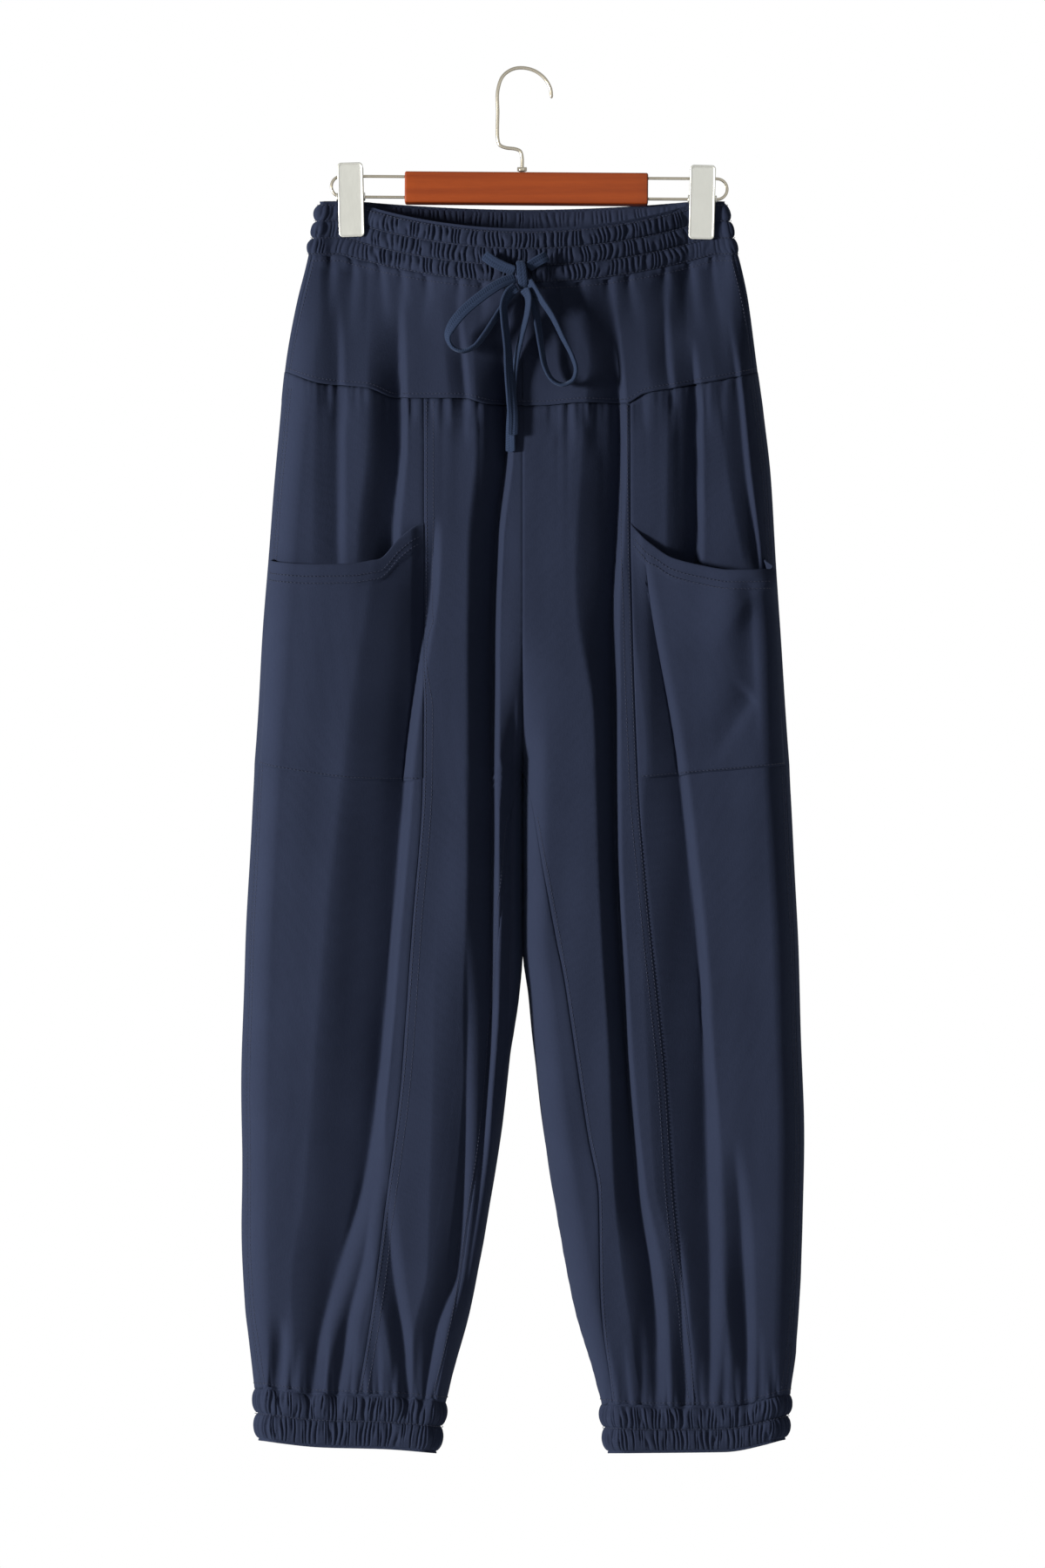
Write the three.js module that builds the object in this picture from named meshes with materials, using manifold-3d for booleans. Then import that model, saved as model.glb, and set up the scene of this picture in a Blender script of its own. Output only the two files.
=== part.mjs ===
// Wide-leg drawstring pants hanging flat from a clip hanger.
// Millimetres, +Z up. The front faces -Y and +X is to the right of someone who looks at the front.
// The origin is the inside of the hook's crown, where a rail carries the hanger.
// "down" is the distance below the origin, so z = -down.
import * as THREE from 'three';
import Module from 'manifold-3d';

const wasm = await Module();
wasm.setup();

// ---------- driving dimensions ----------

const CLOTH = 1.6; // wall of the leg, yoke and pocket cloth
const CASING = 3; // wall of the waistband and cuffs: two layers over elastic
const SEAM_GAP = 0.3; // clearance between neighbouring pieces
const LEFT = -1;
const RIGHT = 1;

const CLIP_LEFT_X = -138;
const CLIP_RIGHT_X = 144.5;
const CLIP_WIDTH = 20.5;
const CLIP_HEIGHT = 60;
const CLIP_TOP_DOWN = 75.5;
const CLIP_PLATE = 1.6;

const BAND_TOP_DOWN = 107.5; // top edge of the waistband where the clips hold it
const BAND_HEIGHT = 42;
const BAND_FRONT_SAG = 22; // how far the front droops between the clips
const BAND_BACK_SAG = 7;
const BAND_WAVES = 88;
const BAND_CHANNELS = 3;
const BAND_WAVE_DEPTH = 1.1;
const BAND_PUFF = 1.9; // how far a channel stands out between its stitch rows
const PINCH = 3.6; // half thickness of the waist between a clip's jaws
const PINCHED = 13; // half width of the cloth that a clip holds flat
const BULGE_FRONT = 28; // how far the front stands off the middle plane between the clips
const BULGE_BACK = 25;
const TAB_BULGE = 7; // the same outside the clips

const CUFF_WAVES = 40;
const CUFF_CHANNELS = 2;
const CUFF_WAVE_DEPTH = 1.2;
const CUFF_PUFF = 1.7;

const CROTCH_DOWN = 550;
const CROTCH_RISE = 120; // height over which front and back close together at the crotch
const SIDE_SEAM_INSET = 4; // the side seams lie this far in from the edge, on the front
const YOKE_BLEND = 115; // height over which the waist's section becomes the hip's
const FOLD_FADE = 60; // height over which a fold begins or ends
const BACK_YOKE_DIP = 14; // how much lower the back yoke's seam is at the middle

const POCKET_STANDOFF = CLOTH + 0.5; // from the panel's outer face to the pocket's
const POCKET_BULGE = { [LEFT]: 10, [RIGHT]: 13 }; // how far the mouths gape
const POCKET_GAPE_AT = { [LEFT]: 0.4, [RIGHT]: 0.34 }; // where, from side seam to princess seam

// Each edge of the pants seen from the front, as its distance from the middle.
const OUTER_EDGES = [
  { down: 104, left: 167, right: 166.5 },
  { down: 150, left: 174.5, right: 174.5 },
  { down: 189, left: 182, right: 182 },
  { down: 259, left: 193, right: 192 },
  { down: 329, left: 199.5, right: 199.5 },
  { down: 434, left: 207, right: 206.5 },
  { down: 574, left: 216.3, right: 215.6 },
  { down: 714, left: 223.3, right: 222 },
  { down: 854, left: 226.1, right: 226.1 },
  { down: 924, left: 226.1, right: 225.4 },
  { down: 994, left: 223.3, right: 222.6 },
  { down: 1029, left: 218.4, right: 219.6 },
  { down: 1064, left: 213.5, right: 213.5 },
  { down: 1112, left: 213.3, right: 212 },
];
const INNER_EDGES = [
  { down: 500, left: 0, right: 0 },
  { down: 550, left: 0.5, right: 0.5 },
  { down: 714, left: 0.6, right: 1.4 },
  { down: 749, left: 2.8, right: 4.9 },
  { down: 784, left: 8.4, right: 8.4 },
  { down: 854, left: 16.8, right: 16.8 },
  { down: 924, left: 28, right: 28 },
  { down: 994, left: 41.3, right: 41.3 },
  { down: 1064, left: 59.5, right: 60.9 },
  { down: 1112, left: 68, right: 67.3 },
];

// Half depth of front and back, and the width over which they round into an edge.
const SECTIONS = [
  { down: 150, front: 33, back: 33, rounding: 36 },
  { down: 266, front: 39, back: 38, rounding: 42 },
  { down: 420, front: 43, back: 42, rounding: 44 },
  { down: 560, front: 45, back: 46, rounding: 44 },
  { down: 714, front: 43, back: 43, rounding: 42 },
  { down: 900, front: 40, back: 40, rounding: 40 },
  { down: 994, front: 35, back: 35, rounding: 36 },
  { down: 1064, front: 26, back: 26, rounding: 28 },
  { down: 1112, front: 23, back: 23, rounding: 26 },
];

// Seams of the front panels, as distances from the middle.
const PRINCESS_SEAMS = [
  { down: 243, left: 79, right: 86 },
  { down: 364, left: 79, right: 86.8 },
  { down: 567, left: 80, right: 93 },
  { down: 687, left: 88.6, right: 103 },
  { down: 811, left: 97.3, right: 115.5 },
  { down: 906, left: 109.2, right: 122 },
  { down: 1000, left: 121.5, right: 132.5 },
  { down: 1075, left: 134, right: 140 },
];
const INSEAMS = [
  { down: 550, left: 0.5, right: 0.5 },
  { down: 585, left: 9, right: 8 },
  { down: 634, left: 14.7, right: 16.5 },
  { down: 733, left: 22.8, right: 34.3 },
  { down: 853, left: 33.6, right: 52.5 },
  { down: 902, left: 40, right: 61 },
  { down: 981, left: 51, right: 62.5 },
  { down: 1075, left: 72, right: 72 },
];
const FRONT_YOKE_SEAM = [
  { x: -192, down: 243 },
  { x: -160, down: 252 },
  { x: -125, down: 255 },
  { x: -100, down: 263.5 },
  { x: -50, down: 263.5 },
  { x: -22, down: 269 },
  { x: 14, down: 269.5 },
  { x: 50, down: 267 },
  { x: 82, down: 268 },
  { x: 98, down: 260 },
  { x: 134, down: 253.5 },
  { x: 192, down: 243 },
];

// The cuffs' upper seam and their height, from the outer edge (share 0) to the inner (share 1).
const CUFFS = [
  { share: 0, topLeft: 1057.7, topRight: 1062.3, heightLeft: 43.4, heightRight: 38.2 },
  { share: 0.35, topLeft: 1063.6, topRight: 1073.6, heightLeft: 43.2, heightRight: 37 },
  { share: 0.7, topLeft: 1065.2, topRight: 1074, heightLeft: 43, heightRight: 37.2 },
  { share: 1, topLeft: 1069.3, topRight: 1071, heightLeft: 42.4, heightRight: 40.6 },
];

// Pocket mouths and bottoms, from the side seam (share 0) to the princess seam (share 1).
const POCKET_MOUTHS = [
  { share: 0, left: 393, right: 391.7 },
  { share: 0.1, left: 395.5, right: 402 },
  { share: 0.36, left: 397.5, right: 402 },
  { share: 0.6, left: 397, right: 397.4 },
  { share: 0.75, left: 393, right: 392 },
  { share: 0.86, left: 376, right: 382.5 },
  { share: 0.94, left: 367, right: 373.5 },
  { share: 1, left: 364, right: 364 },
];
const POCKET_BOTTOMS = [
  { share: 0, left: 557.9, right: 558.6 },
  { share: 0.35, left: 565, right: 562 },
  { share: 0.7, left: 571, right: 566 },
  { share: 1, left: 572, right: 570.5 },
];

// Troughs that run down the cloth: where each one lies at six heights, how wide its steep and
// easy flanks are, how deep it is, and where it begins and ends. Its steep flank is on the left.
const FOLD_HEIGHTS = { yoke: 224, hip: 400, thigh: 574, knee: 749, shin: 900, ankle: 1050 };
const FRONT_FOLDS = [
  { yoke: -101, hip: -106, thigh: -115, knee: -131.5, shin: -152, ankle: -181, steep: 20, easy: 46,
    depth: 13, from: 150, to: 1120 },
  { yoke: -28, hip: -34, thigh: -36, knee: -31.5, shin: -55, ankle: -80, steep: 22, easy: 34,
    depth: 17, from: 140, to: 1110 },
  { yoke: -5, hip: -7, thigh: -10, knee: -15, shin: -15, ankle: -15, steep: 12, easy: 13,
    depth: 6, from: 400, to: 790 },
  { yoke: 70, hip: 64, thigh: 68, knee: 73.5, shin: 84, ankle: 88, steep: 25, easy: 28,
    depth: 19, from: 170, to: 1110 },
  { yoke: 126, hip: 112, thigh: 104, knee: 129.5, shin: 137, ankle: 147, steep: 22, easy: 32,
    depth: 11, from: 150, to: 1110 },
  { yoke: 168, hip: 176, thigh: 178, knee: 178, shin: 178, ankle: 178, steep: 12, easy: 22,
    depth: 7, from: 180, to: 520 },
  { yoke: -140, hip: -140, thigh: -140, knee: -140, shin: -136, ankle: -152, steep: 12, easy: 24,
    depth: 8, from: 850, to: 1100 },
  { yoke: -112, hip: -112, thigh: -112, knee: -112, shin: -116, ankle: -101, steep: 12, easy: 18,
    depth: 7, from: 880, to: 1100 },
  { yoke: 172, hip: 172, thigh: 172, knee: 172, shin: 172, ankle: 176, steep: 13, easy: 20,
    depth: 8, from: 900, to: 1100 },
  { yoke: 112, hip: 112, thigh: 112, knee: 112, shin: 112, ankle: 102, steep: 12, easy: 16,
    depth: 7, from: 930, to: 1100 },
];
const BACK_FOLDS = [
  { yoke: -132, hip: -136, thigh: -142, knee: -150, shin: -160, ankle: -172, steep: 24, easy: 40,
    depth: 12, from: 150, to: 1110 },
  { yoke: -70, hip: -74, thigh: -82, knee: -92, shin: -104, ankle: -118, steep: 22, easy: 36,
    depth: 15, from: 150, to: 1110 },
  { yoke: -18, hip: -20, thigh: -26, knee: -40, shin: -58, ankle: -84, steep: 18, easy: 24,
    depth: 9, from: 260, to: 1100 },
  { yoke: 34, hip: 30, thigh: 32, knee: 46, shin: 62, ankle: 90, steep: 26, easy: 28,
    depth: 12, from: 150, to: 1110 },
  { yoke: 92, hip: 88, thigh: 92, knee: 104, shin: 116, ankle: 128, steep: 24, easy: 34,
    depth: 15, from: 150, to: 1110 },
  { yoke: 144, hip: 146, thigh: 150, knee: 158, shin: 166, ankle: 174, steep: 20, easy: 30,
    depth: 10, from: 150, to: 1100 },
];

// How finely the pieces are divided.
const SIDE_COLUMNS = 11;
const CENTRE_COLUMNS = 11;
const BACK_COLUMNS = 18;
const PANEL_ROWS_DOWN = [
  300, 350, 400, 440, 480, 515, 536, 550, 566, 590, 640, 700, 770, 840, 910, 970, 1020,
];
const YOKE_ROWS = 3;
const POCKET_ROWS = 8;
const PROBE = 0.02; // step used to measure the direction that the surface faces
const FRONT_END = 1 - 1e-7; // turn of the last front point before the middle or inner edge

const COLOURS = {
  cloth: 0x2c374d,
  cord: 0x2f3e5e,
  wood: 0x9f4c23,
  steel: 0xb9bcc0,
  plate: 0xc3c6ca,
};

// ---------- curves and small helpers ----------

const mix = (a, b, t) => a + (b - a) * t;
const clamp01 = (t) => Math.min(1, Math.max(0, t));

function smooth(t) {
  const c = clamp01(t);
  return c * c * (3 - 2 * c);
}

// A curve through one column of a table that never swings past its rows (monotone cubic).
function curve(table, along, column) {
  const at = table.map((row) => row[along]);
  const value = table.map((row) => row[column]);
  const gap = at.slice(1).map((a, i) => a - at[i]);
  const rise = gap.map((h, i) => (value[i + 1] - value[i]) / h);
  const slope = at.map((_, i) => {
    if (i === 0) return rise[0];
    if (i === rise.length) return rise[i - 1];
    const product = rise[i - 1] * rise[i];
    return product <= 0 ? 0 : (2 * product) / (rise[i - 1] + rise[i]);
  });
  return (where) => {
    let i = 0;
    while (i < gap.length - 1 && where > at[i + 1]) i += 1;
    const t = clamp01((where - at[i]) / gap[i]);
    const t2 = t * t;
    const t3 = t2 * t;
    const start = (2 * t3 - 3 * t2 + 1) * value[i] + (t3 - 2 * t2 + t) * gap[i] * slope[i];
    const end = (3 * t2 - 2 * t3) * value[i + 1] + (t3 - t2) * gap[i] * slope[i + 1];
    return start + end;
  };
}

function bothSides(table, along, leftColumn = 'left', rightColumn = 'right') {
  return { [LEFT]: curve(table, along, leftColumn), [RIGHT]: curve(table, along, rightColumn) };
}

const outerEdge = bothSides(OUTER_EDGES, 'down');
const innerEdge = bothSides(INNER_EDGES, 'down');
const princessSeam = bothSides(PRINCESS_SEAMS, 'down');
const inseam = bothSides(INSEAMS, 'down');
const cuffTop = bothSides(CUFFS, 'share', 'topLeft', 'topRight');
const cuffHeight = bothSides(CUFFS, 'share', 'heightLeft', 'heightRight');
const pocketMouth = bothSides(POCKET_MOUTHS, 'share');
const pocketBottom = bothSides(POCKET_BOTTOMS, 'share');
const halfDepth = { front: curve(SECTIONS, 'down', 'front'), back: curve(SECTIONS, 'down', 'back') };
const rounding = curve(SECTIONS, 'down', 'rounding');
const frontYokeSeam = curve(FRONT_YOKE_SEAM, 'x', 'down');

function foldPath(fold) {
  const rows = Object.entries(FOLD_HEIGHTS).map(([name, down]) => ({ down, x: fold[name] }));
  return { ...fold, at: curve(rows, 'down', 'x') };
}

const folds = { front: FRONT_FOLDS.map(foldPath), back: BACK_FOLDS.map(foldPath) };

// ---------- the shape of the hanging pants ----------

// A quarter-round shoulder: 0 at an edge, 1 from `width` inwards.
function shoulder(distance, width) {
  const t = 1 - clamp01(distance / width);
  return Math.sqrt(1 - t * t);
}

function foldDepth(face, x, down) {
  let depth = 0;
  for (const fold of folds[face]) {
    const offset = x - fold.at(down);
    const reach = Math.abs(offset) / (offset < 0 ? fold.steep : fold.easy);
    if (reach < 1) {
      const fade = smooth((down - fold.from) / FOLD_FADE) * smooth((fold.to - down) / FOLD_FADE);
      depth += fold.depth * fade * (1 - reach * reach) ** 2;
    }
  }
  return depth;
}

// How far the waist stands off the middle plane at x: pinched at the clips, bulging between them.
function waistDepth(face, x) {
  const between = (x - CLIP_LEFT_X - PINCHED) / (CLIP_RIGHT_X - CLIP_LEFT_X - 2 * PINCHED);
  if (between > 0 && between < 1) {
    const bulge = face === 'front' ? BULGE_FRONT : BULGE_BACK;
    return PINCH + (bulge - PINCH) * Math.sin(Math.PI * between) ** 0.9;
  }
  const beyond = Math.max(CLIP_LEFT_X - PINCHED - x, x - CLIP_RIGHT_X - PINCHED, 0);
  return PINCH + (TAB_BULGE - PINCH) * smooth(beyond / PINCHED);
}

// How far the cloth's outer face is from the middle plane. `away` is the distance from X = 0.
function clothDepth(side, face, away, down) {
  const fromOuter = outerEdge[side](down) - away;
  const fromInner = away - innerEdge[side](down);
  const open = Math.sqrt(1 - clamp01((down - CROTCH_DOWN + CROTCH_RISE) / CROTCH_RISE) ** 2);
  const width = rounding(down);
  const edges = shoulder(fromOuter, width) * mix(shoulder(fromInner, width), 1, open);
  const hip = (halfDepth[face](down) - foldDepth(face, side * away, down)) * edges;
  const waist = waistDepth(face, side * away) * shoulder(fromOuter, TAB_BULGE);
  return mix(waist, hip, smooth((down - BAND_TOP_DOWN - BAND_HEIGHT) / YOKE_BLEND));
}

// Spreads columns so that they crowd towards both edges of a leg.
const CROWDING = 0.72;
const spread = (turn) => mix(turn, (1 - Math.cos(Math.PI * turn)) / 2, CROWDING);

function unspread(share) {
  let low = 0;
  let high = 1;
  for (let i = 0; i < 40; i += 1) {
    const middle = (low + high) / 2;
    if (spread(middle) < share) low = middle;
    else high = middle;
  }
  return (low + high) / 2;
}

// A point on the outer face of one half of the pants. `turn` goes once round the leg: 0 at the
// outer edge, 0 to 1 across the front to the inner edge, 1 to 2 across the back.
function pantsPoint(side, turn, down) {
  const wrapped = ((turn % 2) + 2) % 2;
  const face = wrapped < 1 ? 'front' : 'back';
  const share = spread(face === 'front' ? wrapped : 2 - wrapped);
  const away = mix(outerEdge[side](down), innerEdge[side](down), share);
  const depth = clothDepth(side, face, away, down);
  return new THREE.Vector3(side * away, face === 'front' ? -depth : depth, -down);
}

// The point with the direction that the cloth faces there. Above the crotch, front and back end
// apart from each other at the middle, so the direction is measured on one of them only.
function pantsVertex(side, turn, down) {
  const middle = turn - (((turn % 2) + 2) % 2) + 1;
  const parted = down < CROTCH_DOWN;
  const low = parted && turn >= middle ? Math.max(turn - PROBE, middle) : turn - PROBE;
  const high = parted && turn < middle ? Math.min(turn + PROBE, middle - 1 + FRONT_END) : turn + PROBE;
  const round = pantsPoint(side, high, down).sub(pantsPoint(side, low, down));
  const fall = pantsPoint(side, turn, down + 2).sub(pantsPoint(side, turn, down - 2));
  const facing = fall.cross(round).multiplyScalar(-side).normalize();
  return { point: pantsPoint(side, turn, down), facing };
}

const turnAt = (side, away, down) =>
  unspread(clamp01((outerEdge[side](down) - away) / (outerEdge[side](down) - innerEdge[side](down))));
const sideSeamTurn = (side, down) => turnAt(side, outerEdge[side](down) - SIDE_SEAM_INSET, down);
const princessTurn = (side, down) => turnAt(side, princessSeam[side](down), down);
const inseamTurn = (side, down) =>
  (down <= CROTCH_DOWN ? FRONT_END : Math.min(FRONT_END, turnAt(side, inseam[side](down), down)));

const shareAt = (turn) => {
  const wrapped = ((turn % 2) + 2) % 2;
  return spread(wrapped < 1 ? wrapped : 2 - wrapped);
};

// How much the waist sags at x: 0 at the clips and beyond, 1 halfway between them.
function sag(x) {
  const middle = (CLIP_LEFT_X + CLIP_RIGHT_X) / 2;
  const reach = (x - middle) / (CLIP_RIGHT_X - middle);
  return Math.max(0, 1 - reach * reach);
}

function bandEdgeDown(side, turn, share) {
  const wrapped = ((turn % 2) + 2) % 2;
  const x = side * mix(outerEdge[side](BAND_TOP_DOWN), 0, shareAt(turn));
  const drop = (wrapped < 1 ? BAND_FRONT_SAG : BAND_BACK_SAG) * sag(x);
  return BAND_TOP_DOWN + drop + share * BAND_HEIGHT;
}

const YOKE_SEAM_NEAR = 256;
function yokeSeamDown(side, turn) {
  const wrapped = ((turn % 2) + 2) % 2;
  const edge = outerEdge[side](YOKE_SEAM_NEAR);
  const x = side * mix(edge, 0, shareAt(turn));
  if (wrapped < 1) return frontYokeSeam(x);
  return frontYokeSeam(side * edge) + BACK_YOKE_DIP * (1 - (x / edge) ** 2);
}

const cuffSeamDown = (side, turn) => cuffTop[side](shareAt(turn));
const hemDown = (side, turn) => cuffSeamDown(side, turn) + cuffHeight[side](shareAt(turn));

// ---------- solids ----------

// A closed wall between an outer and an inner sheet of points, each a list of rows, top row first.
// Seen from outside, the columns run left to right. A ring joins its last column to its first, and
// its inner sheet may have fewer rows.
function wallGeometry(outer, inner, ring) {
  const columns = outer[0].length;
  const spans = ring ? columns : columns - 1;
  const outside = (row, column) => row * columns + (column % columns);
  const inside = (row, column) => outside(outer.length + row, column);
  const index = [];
  const quad = (a, b, c, d) => index.push(a, b, c, a, c, d);
  const outerEnd = outer.length - 1;
  const innerEnd = inner.length - 1;
  for (let column = 0; column < spans; column += 1) {
    const next = column + 1;
    for (let row = 0; row < outerEnd; row += 1) {
      quad(outside(row, column), outside(row + 1, column), outside(row + 1, next), outside(row, next));
    }
    for (let row = 0; row < innerEnd; row += 1) {
      quad(inside(row, column), inside(row, next), inside(row + 1, next), inside(row + 1, column));
    }
    quad(outside(0, column), outside(0, next), inside(0, next), inside(0, column));
    quad(
      outside(outerEnd, column), inside(innerEnd, column),
      inside(innerEnd, next), outside(outerEnd, next),
    );
  }
  if (!ring) {
    const last = columns - 1;
    for (let row = 0; row < outerEnd; row += 1) {
      quad(outside(row, 0), inside(row, 0), inside(row + 1, 0), outside(row + 1, 0));
      quad(outside(row, last), outside(row + 1, last), inside(row + 1, last), inside(row, last));
    }
  }
  const geometry = new THREE.BufferGeometry();
  const positions = [...outer.flat(), ...inner.flat()].flatMap((point) => [point.x, point.y, point.z]);
  geometry.setAttribute('position', new THREE.Float32BufferAttribute(positions, 3));
  geometry.setIndex(index);
  geometry.computeVertexNormals();
  return geometry;
}

// Draws the edges of an open sheet of vertices back by half a seam's gap, along the cloth.
function trimSheet(sheet) {
  const trim = SEAM_GAP / 2;
  const draw = (vertex, neighbour) => {
    const step = neighbour.point.clone().sub(vertex.point).normalize();
    return { point: vertex.point.clone().addScaledVector(step, trim), facing: vertex.facing };
  };
  const columns = sheet.map((row) => {
    const last = row.length - 1;
    return row.map((vertex, i) => {
      if (i === 0) return draw(vertex, row[1]);
      if (i === last) return draw(vertex, row[last - 1]);
      return vertex;
    });
  });
  const last = columns.length - 1;
  return columns.map((row, i) => {
    if (i === 0) return row.map((vertex, j) => draw(vertex, columns[1][j]));
    if (i === last) return row.map((vertex, j) => draw(vertex, columns[last - 1][j]));
    return row;
  });
}

const shifted = (sheet, amount) =>
  sheet.map((row) => row.map(({ point, facing }) => point.clone().addScaledVector(facing, amount)));

// The wall of an open piece: its outer face on the sheet, its inner face one cloth deeper.
function clothPiece(sheet) {
  const trimmed = trimSheet(sheet);
  return wallGeometry(shifted(trimmed, 0), shifted(trimmed, -CLOTH), false);
}

function material(colour, roughness, metalness) {
  return new THREE.MeshStandardMaterial({ color: colour, roughness, metalness });
}

const pants = new THREE.Group();

function add(name, geometry, colour, roughness = 0.95, metalness = 0) {
  const mesh = new THREE.Mesh(geometry, material(colour, roughness, metalness));
  mesh.name = name;
  pants.add(mesh);
  return mesh;
}

const sideName = (side) => (side === LEFT ? 'left' : 'right');

const span = (count, from, to) =>
  Array.from({ length: count + 1 }, (_, i) => mix(from, to, i / count));

// Rows of the turns across the front or back of a yoke, matching the columns of the panels below.
function frontTurns(side) {
  const seam = yokeSeamDown(side, princessTurn(side, YOKE_SEAM_NEAR));
  const side0 = sideSeamTurn(side, seam);
  const middle = princessTurn(side, seam);
  return [...span(SIDE_COLUMNS, side0, middle), ...span(CENTRE_COLUMNS, middle, FRONT_END).slice(1)];
}

const backTurns = (side) => span(BACK_COLUMNS, 1, 2 + sideSeamTurn(side, YOKE_SEAM_NEAR));

function yokeSheet(columns) {
  return span(YOKE_ROWS, 0, 1).map((share) =>
    columns.map(([side, turn]) => {
      const down = mix(bandEdgeDown(side, turn, 1), yokeSeamDown(side, turn), share);
      return pantsVertex(side, turn, down);
    }));
}

function addYokes() {
  const left = frontTurns(LEFT).map((turn) => [LEFT, turn]);
  const right = frontTurns(RIGHT).map((turn) => [RIGHT, turn]).reverse();
  add('yoke_front', clothPiece(yokeSheet([...left, ...right.slice(1)])), COLOURS.cloth);
  const backRight = backTurns(RIGHT).map((turn) => [RIGHT, turn]).reverse();
  const backLeft = backTurns(LEFT).map((turn) => [LEFT, turn]);
  add('yoke_back', clothPiece(yokeSheet([...backRight, ...backLeft.slice(1)])), COLOURS.cloth);
}

// A leg panel between two seams, each given as the turn at which it runs at a height.
function panelSheet(side, count, fromSeam, toSeam) {
  const rows = [];
  const bottom = PANEL_ROWS_DOWN.length + 1;
  for (let row = 0; row <= bottom; row += 1) {
    const near = row === 0 ? YOKE_SEAM_NEAR : PANEL_ROWS_DOWN[Math.min(row, bottom - 1) - 1];
    const level = row === bottom ? cuffTop[side](0.5) : near;
    const turns = span(count, fromSeam(side, level), toSeam(side, level));
    rows.push(turns.map((turn) => {
      if (row === 0) return pantsVertex(side, turn, yokeSeamDown(side, turn));
      if (row === bottom) return pantsVertex(side, turn, cuffSeamDown(side, turn));
      return pantsVertex(side, turn, level);
    }));
  }
  return side === LEFT ? rows : rows.map((row) => row.reverse());
}

const backStart = (side, down) => (down <= CROTCH_DOWN ? 1 : inseamTurn(side, down));
const backEnd = (side, down) => 2 + sideSeamTurn(side, down);

function addLeg(side) {
  const name = sideName(side);
  const outerPanel = panelSheet(side, SIDE_COLUMNS, sideSeamTurn, princessTurn);
  const innerPanel = panelSheet(side, CENTRE_COLUMNS, princessTurn, inseamTurn);
  const backPanel = panelSheet(side, BACK_COLUMNS, backStart, backEnd);
  add(`side_front_${name}`, clothPiece(outerPanel), COLOURS.cloth);
  add(`centre_front_${name}`, clothPiece(innerPanel), COLOURS.cloth);
  add(`back_${name}`, clothPiece(backPanel), COLOURS.cloth);
  add(`pocket_${name}`, clothPiece(pocketSheet(side, outerPanel)), COLOURS.cloth);
}

// The vertex where a column of a sheet passes a height.
function vertexAt(sheet, column, down) {
  let row = 1;
  while (row < sheet.length - 1 && -sheet[row][column].point.z < down) row += 1;
  const above = sheet[row - 1][column];
  const below = sheet[row][column];
  const part = (down + above.point.z) / (above.point.z - below.point.z);
  return {
    point: above.point.clone().lerp(below.point, part),
    facing: above.facing.clone().lerp(below.facing, part).normalize(),
  };
}

// A patch pocket is made from its panel's points, moved out, and gapes along its mouth.
function pocketSheet(side, panel) {
  const last = panel[0].length - 1;
  return span(POCKET_ROWS, 0, 1).map((fall) => panel[0].map((_, column) => {
    const share = side === LEFT ? column / last : 1 - column / last;
    const down = mix(pocketMouth[side](share), pocketBottom[side](share), fall);
    const { point, facing } = vertexAt(panel, column, down);
    const skew = share ** (Math.log(0.5) / Math.log(POCKET_GAPE_AT[side]));
    const gape = POCKET_BULGE[side] * Math.sin(Math.PI * skew) * (1 - fall) ** 1.4;
    return { point: point.addScaledVector(facing, POCKET_STANDOFF + gape), facing };
  }));
}

// Evenly spaced turns round the leg or waist at a height, so that all gathers are equally wide.
function evenTurns(count, pointAt, turnCount) {
  const steps = 800;
  const lengths = [0];
  let last = pointAt(0);
  for (let i = 1; i <= steps; i += 1) {
    const next = pointAt((turnCount * i) / steps);
    lengths.push(lengths[i - 1] + next.distanceTo(last));
    last = next;
  }
  const turns = [];
  let i = 0;
  for (let n = 0; n < count; n += 1) {
    const target = (lengths[steps] * n) / count;
    while (lengths[i + 1] < target) i += 1;
    const part = (target - lengths[i]) / (lengths[i + 1] - lengths[i]);
    turns.push((turnCount * (i + part)) / steps);
  }
  return turns;
}

// A gathered casing: puffed between its stitch rows, waved all round, plain inside.
// `edgeAt(column, share)` gives a vertex on the casing's plain face from top (0) to bottom (1).
function casing(columns, channels, puff, waveDepth, fullness, edgeAt) {
  const rows = 2 * channels;
  const outer = span(rows, 0, 1).map((share, row) => columns.map((column, i) => {
    const { point, facing } = edgeAt(column, share);
    const crest = i % 2 === 0 ? 1 : -1;
    const rise = row % 2 === 1 ? puff + crest * waveDepth : (1 + crest) * waveDepth * 0.25;
    return point.addScaledVector(facing, rise * fullness(point.x));
  }));
  const inner = [0, 1].map((share) => columns.map((column) => {
    const { point, facing } = edgeAt(column, share);
    return point.addScaledVector(facing, -CASING);
  }));
  return wallGeometry(outer, inner, true);
}

// The clips flatten the gathers that they hold.
function bandFullness(x) {
  const clear = Math.min(Math.abs(x - CLIP_LEFT_X), Math.abs(x - CLIP_RIGHT_X)) - PINCHED;
  return mix(0.3, 1, smooth(clear / PINCHED));
}

// Round the whole waist, a place is a number from 0 to 4: the left front, the right front, the
// right back and the left back, in that order.
function waistTurn(place) {
  if (place < 1) return [LEFT, Math.min(place, FRONT_END)];
  if (place < 2) return [RIGHT, Math.min(2 - place, FRONT_END)];
  if (place < 3) return [RIGHT, 4 - place];
  return [LEFT, place - 2];
}

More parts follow.
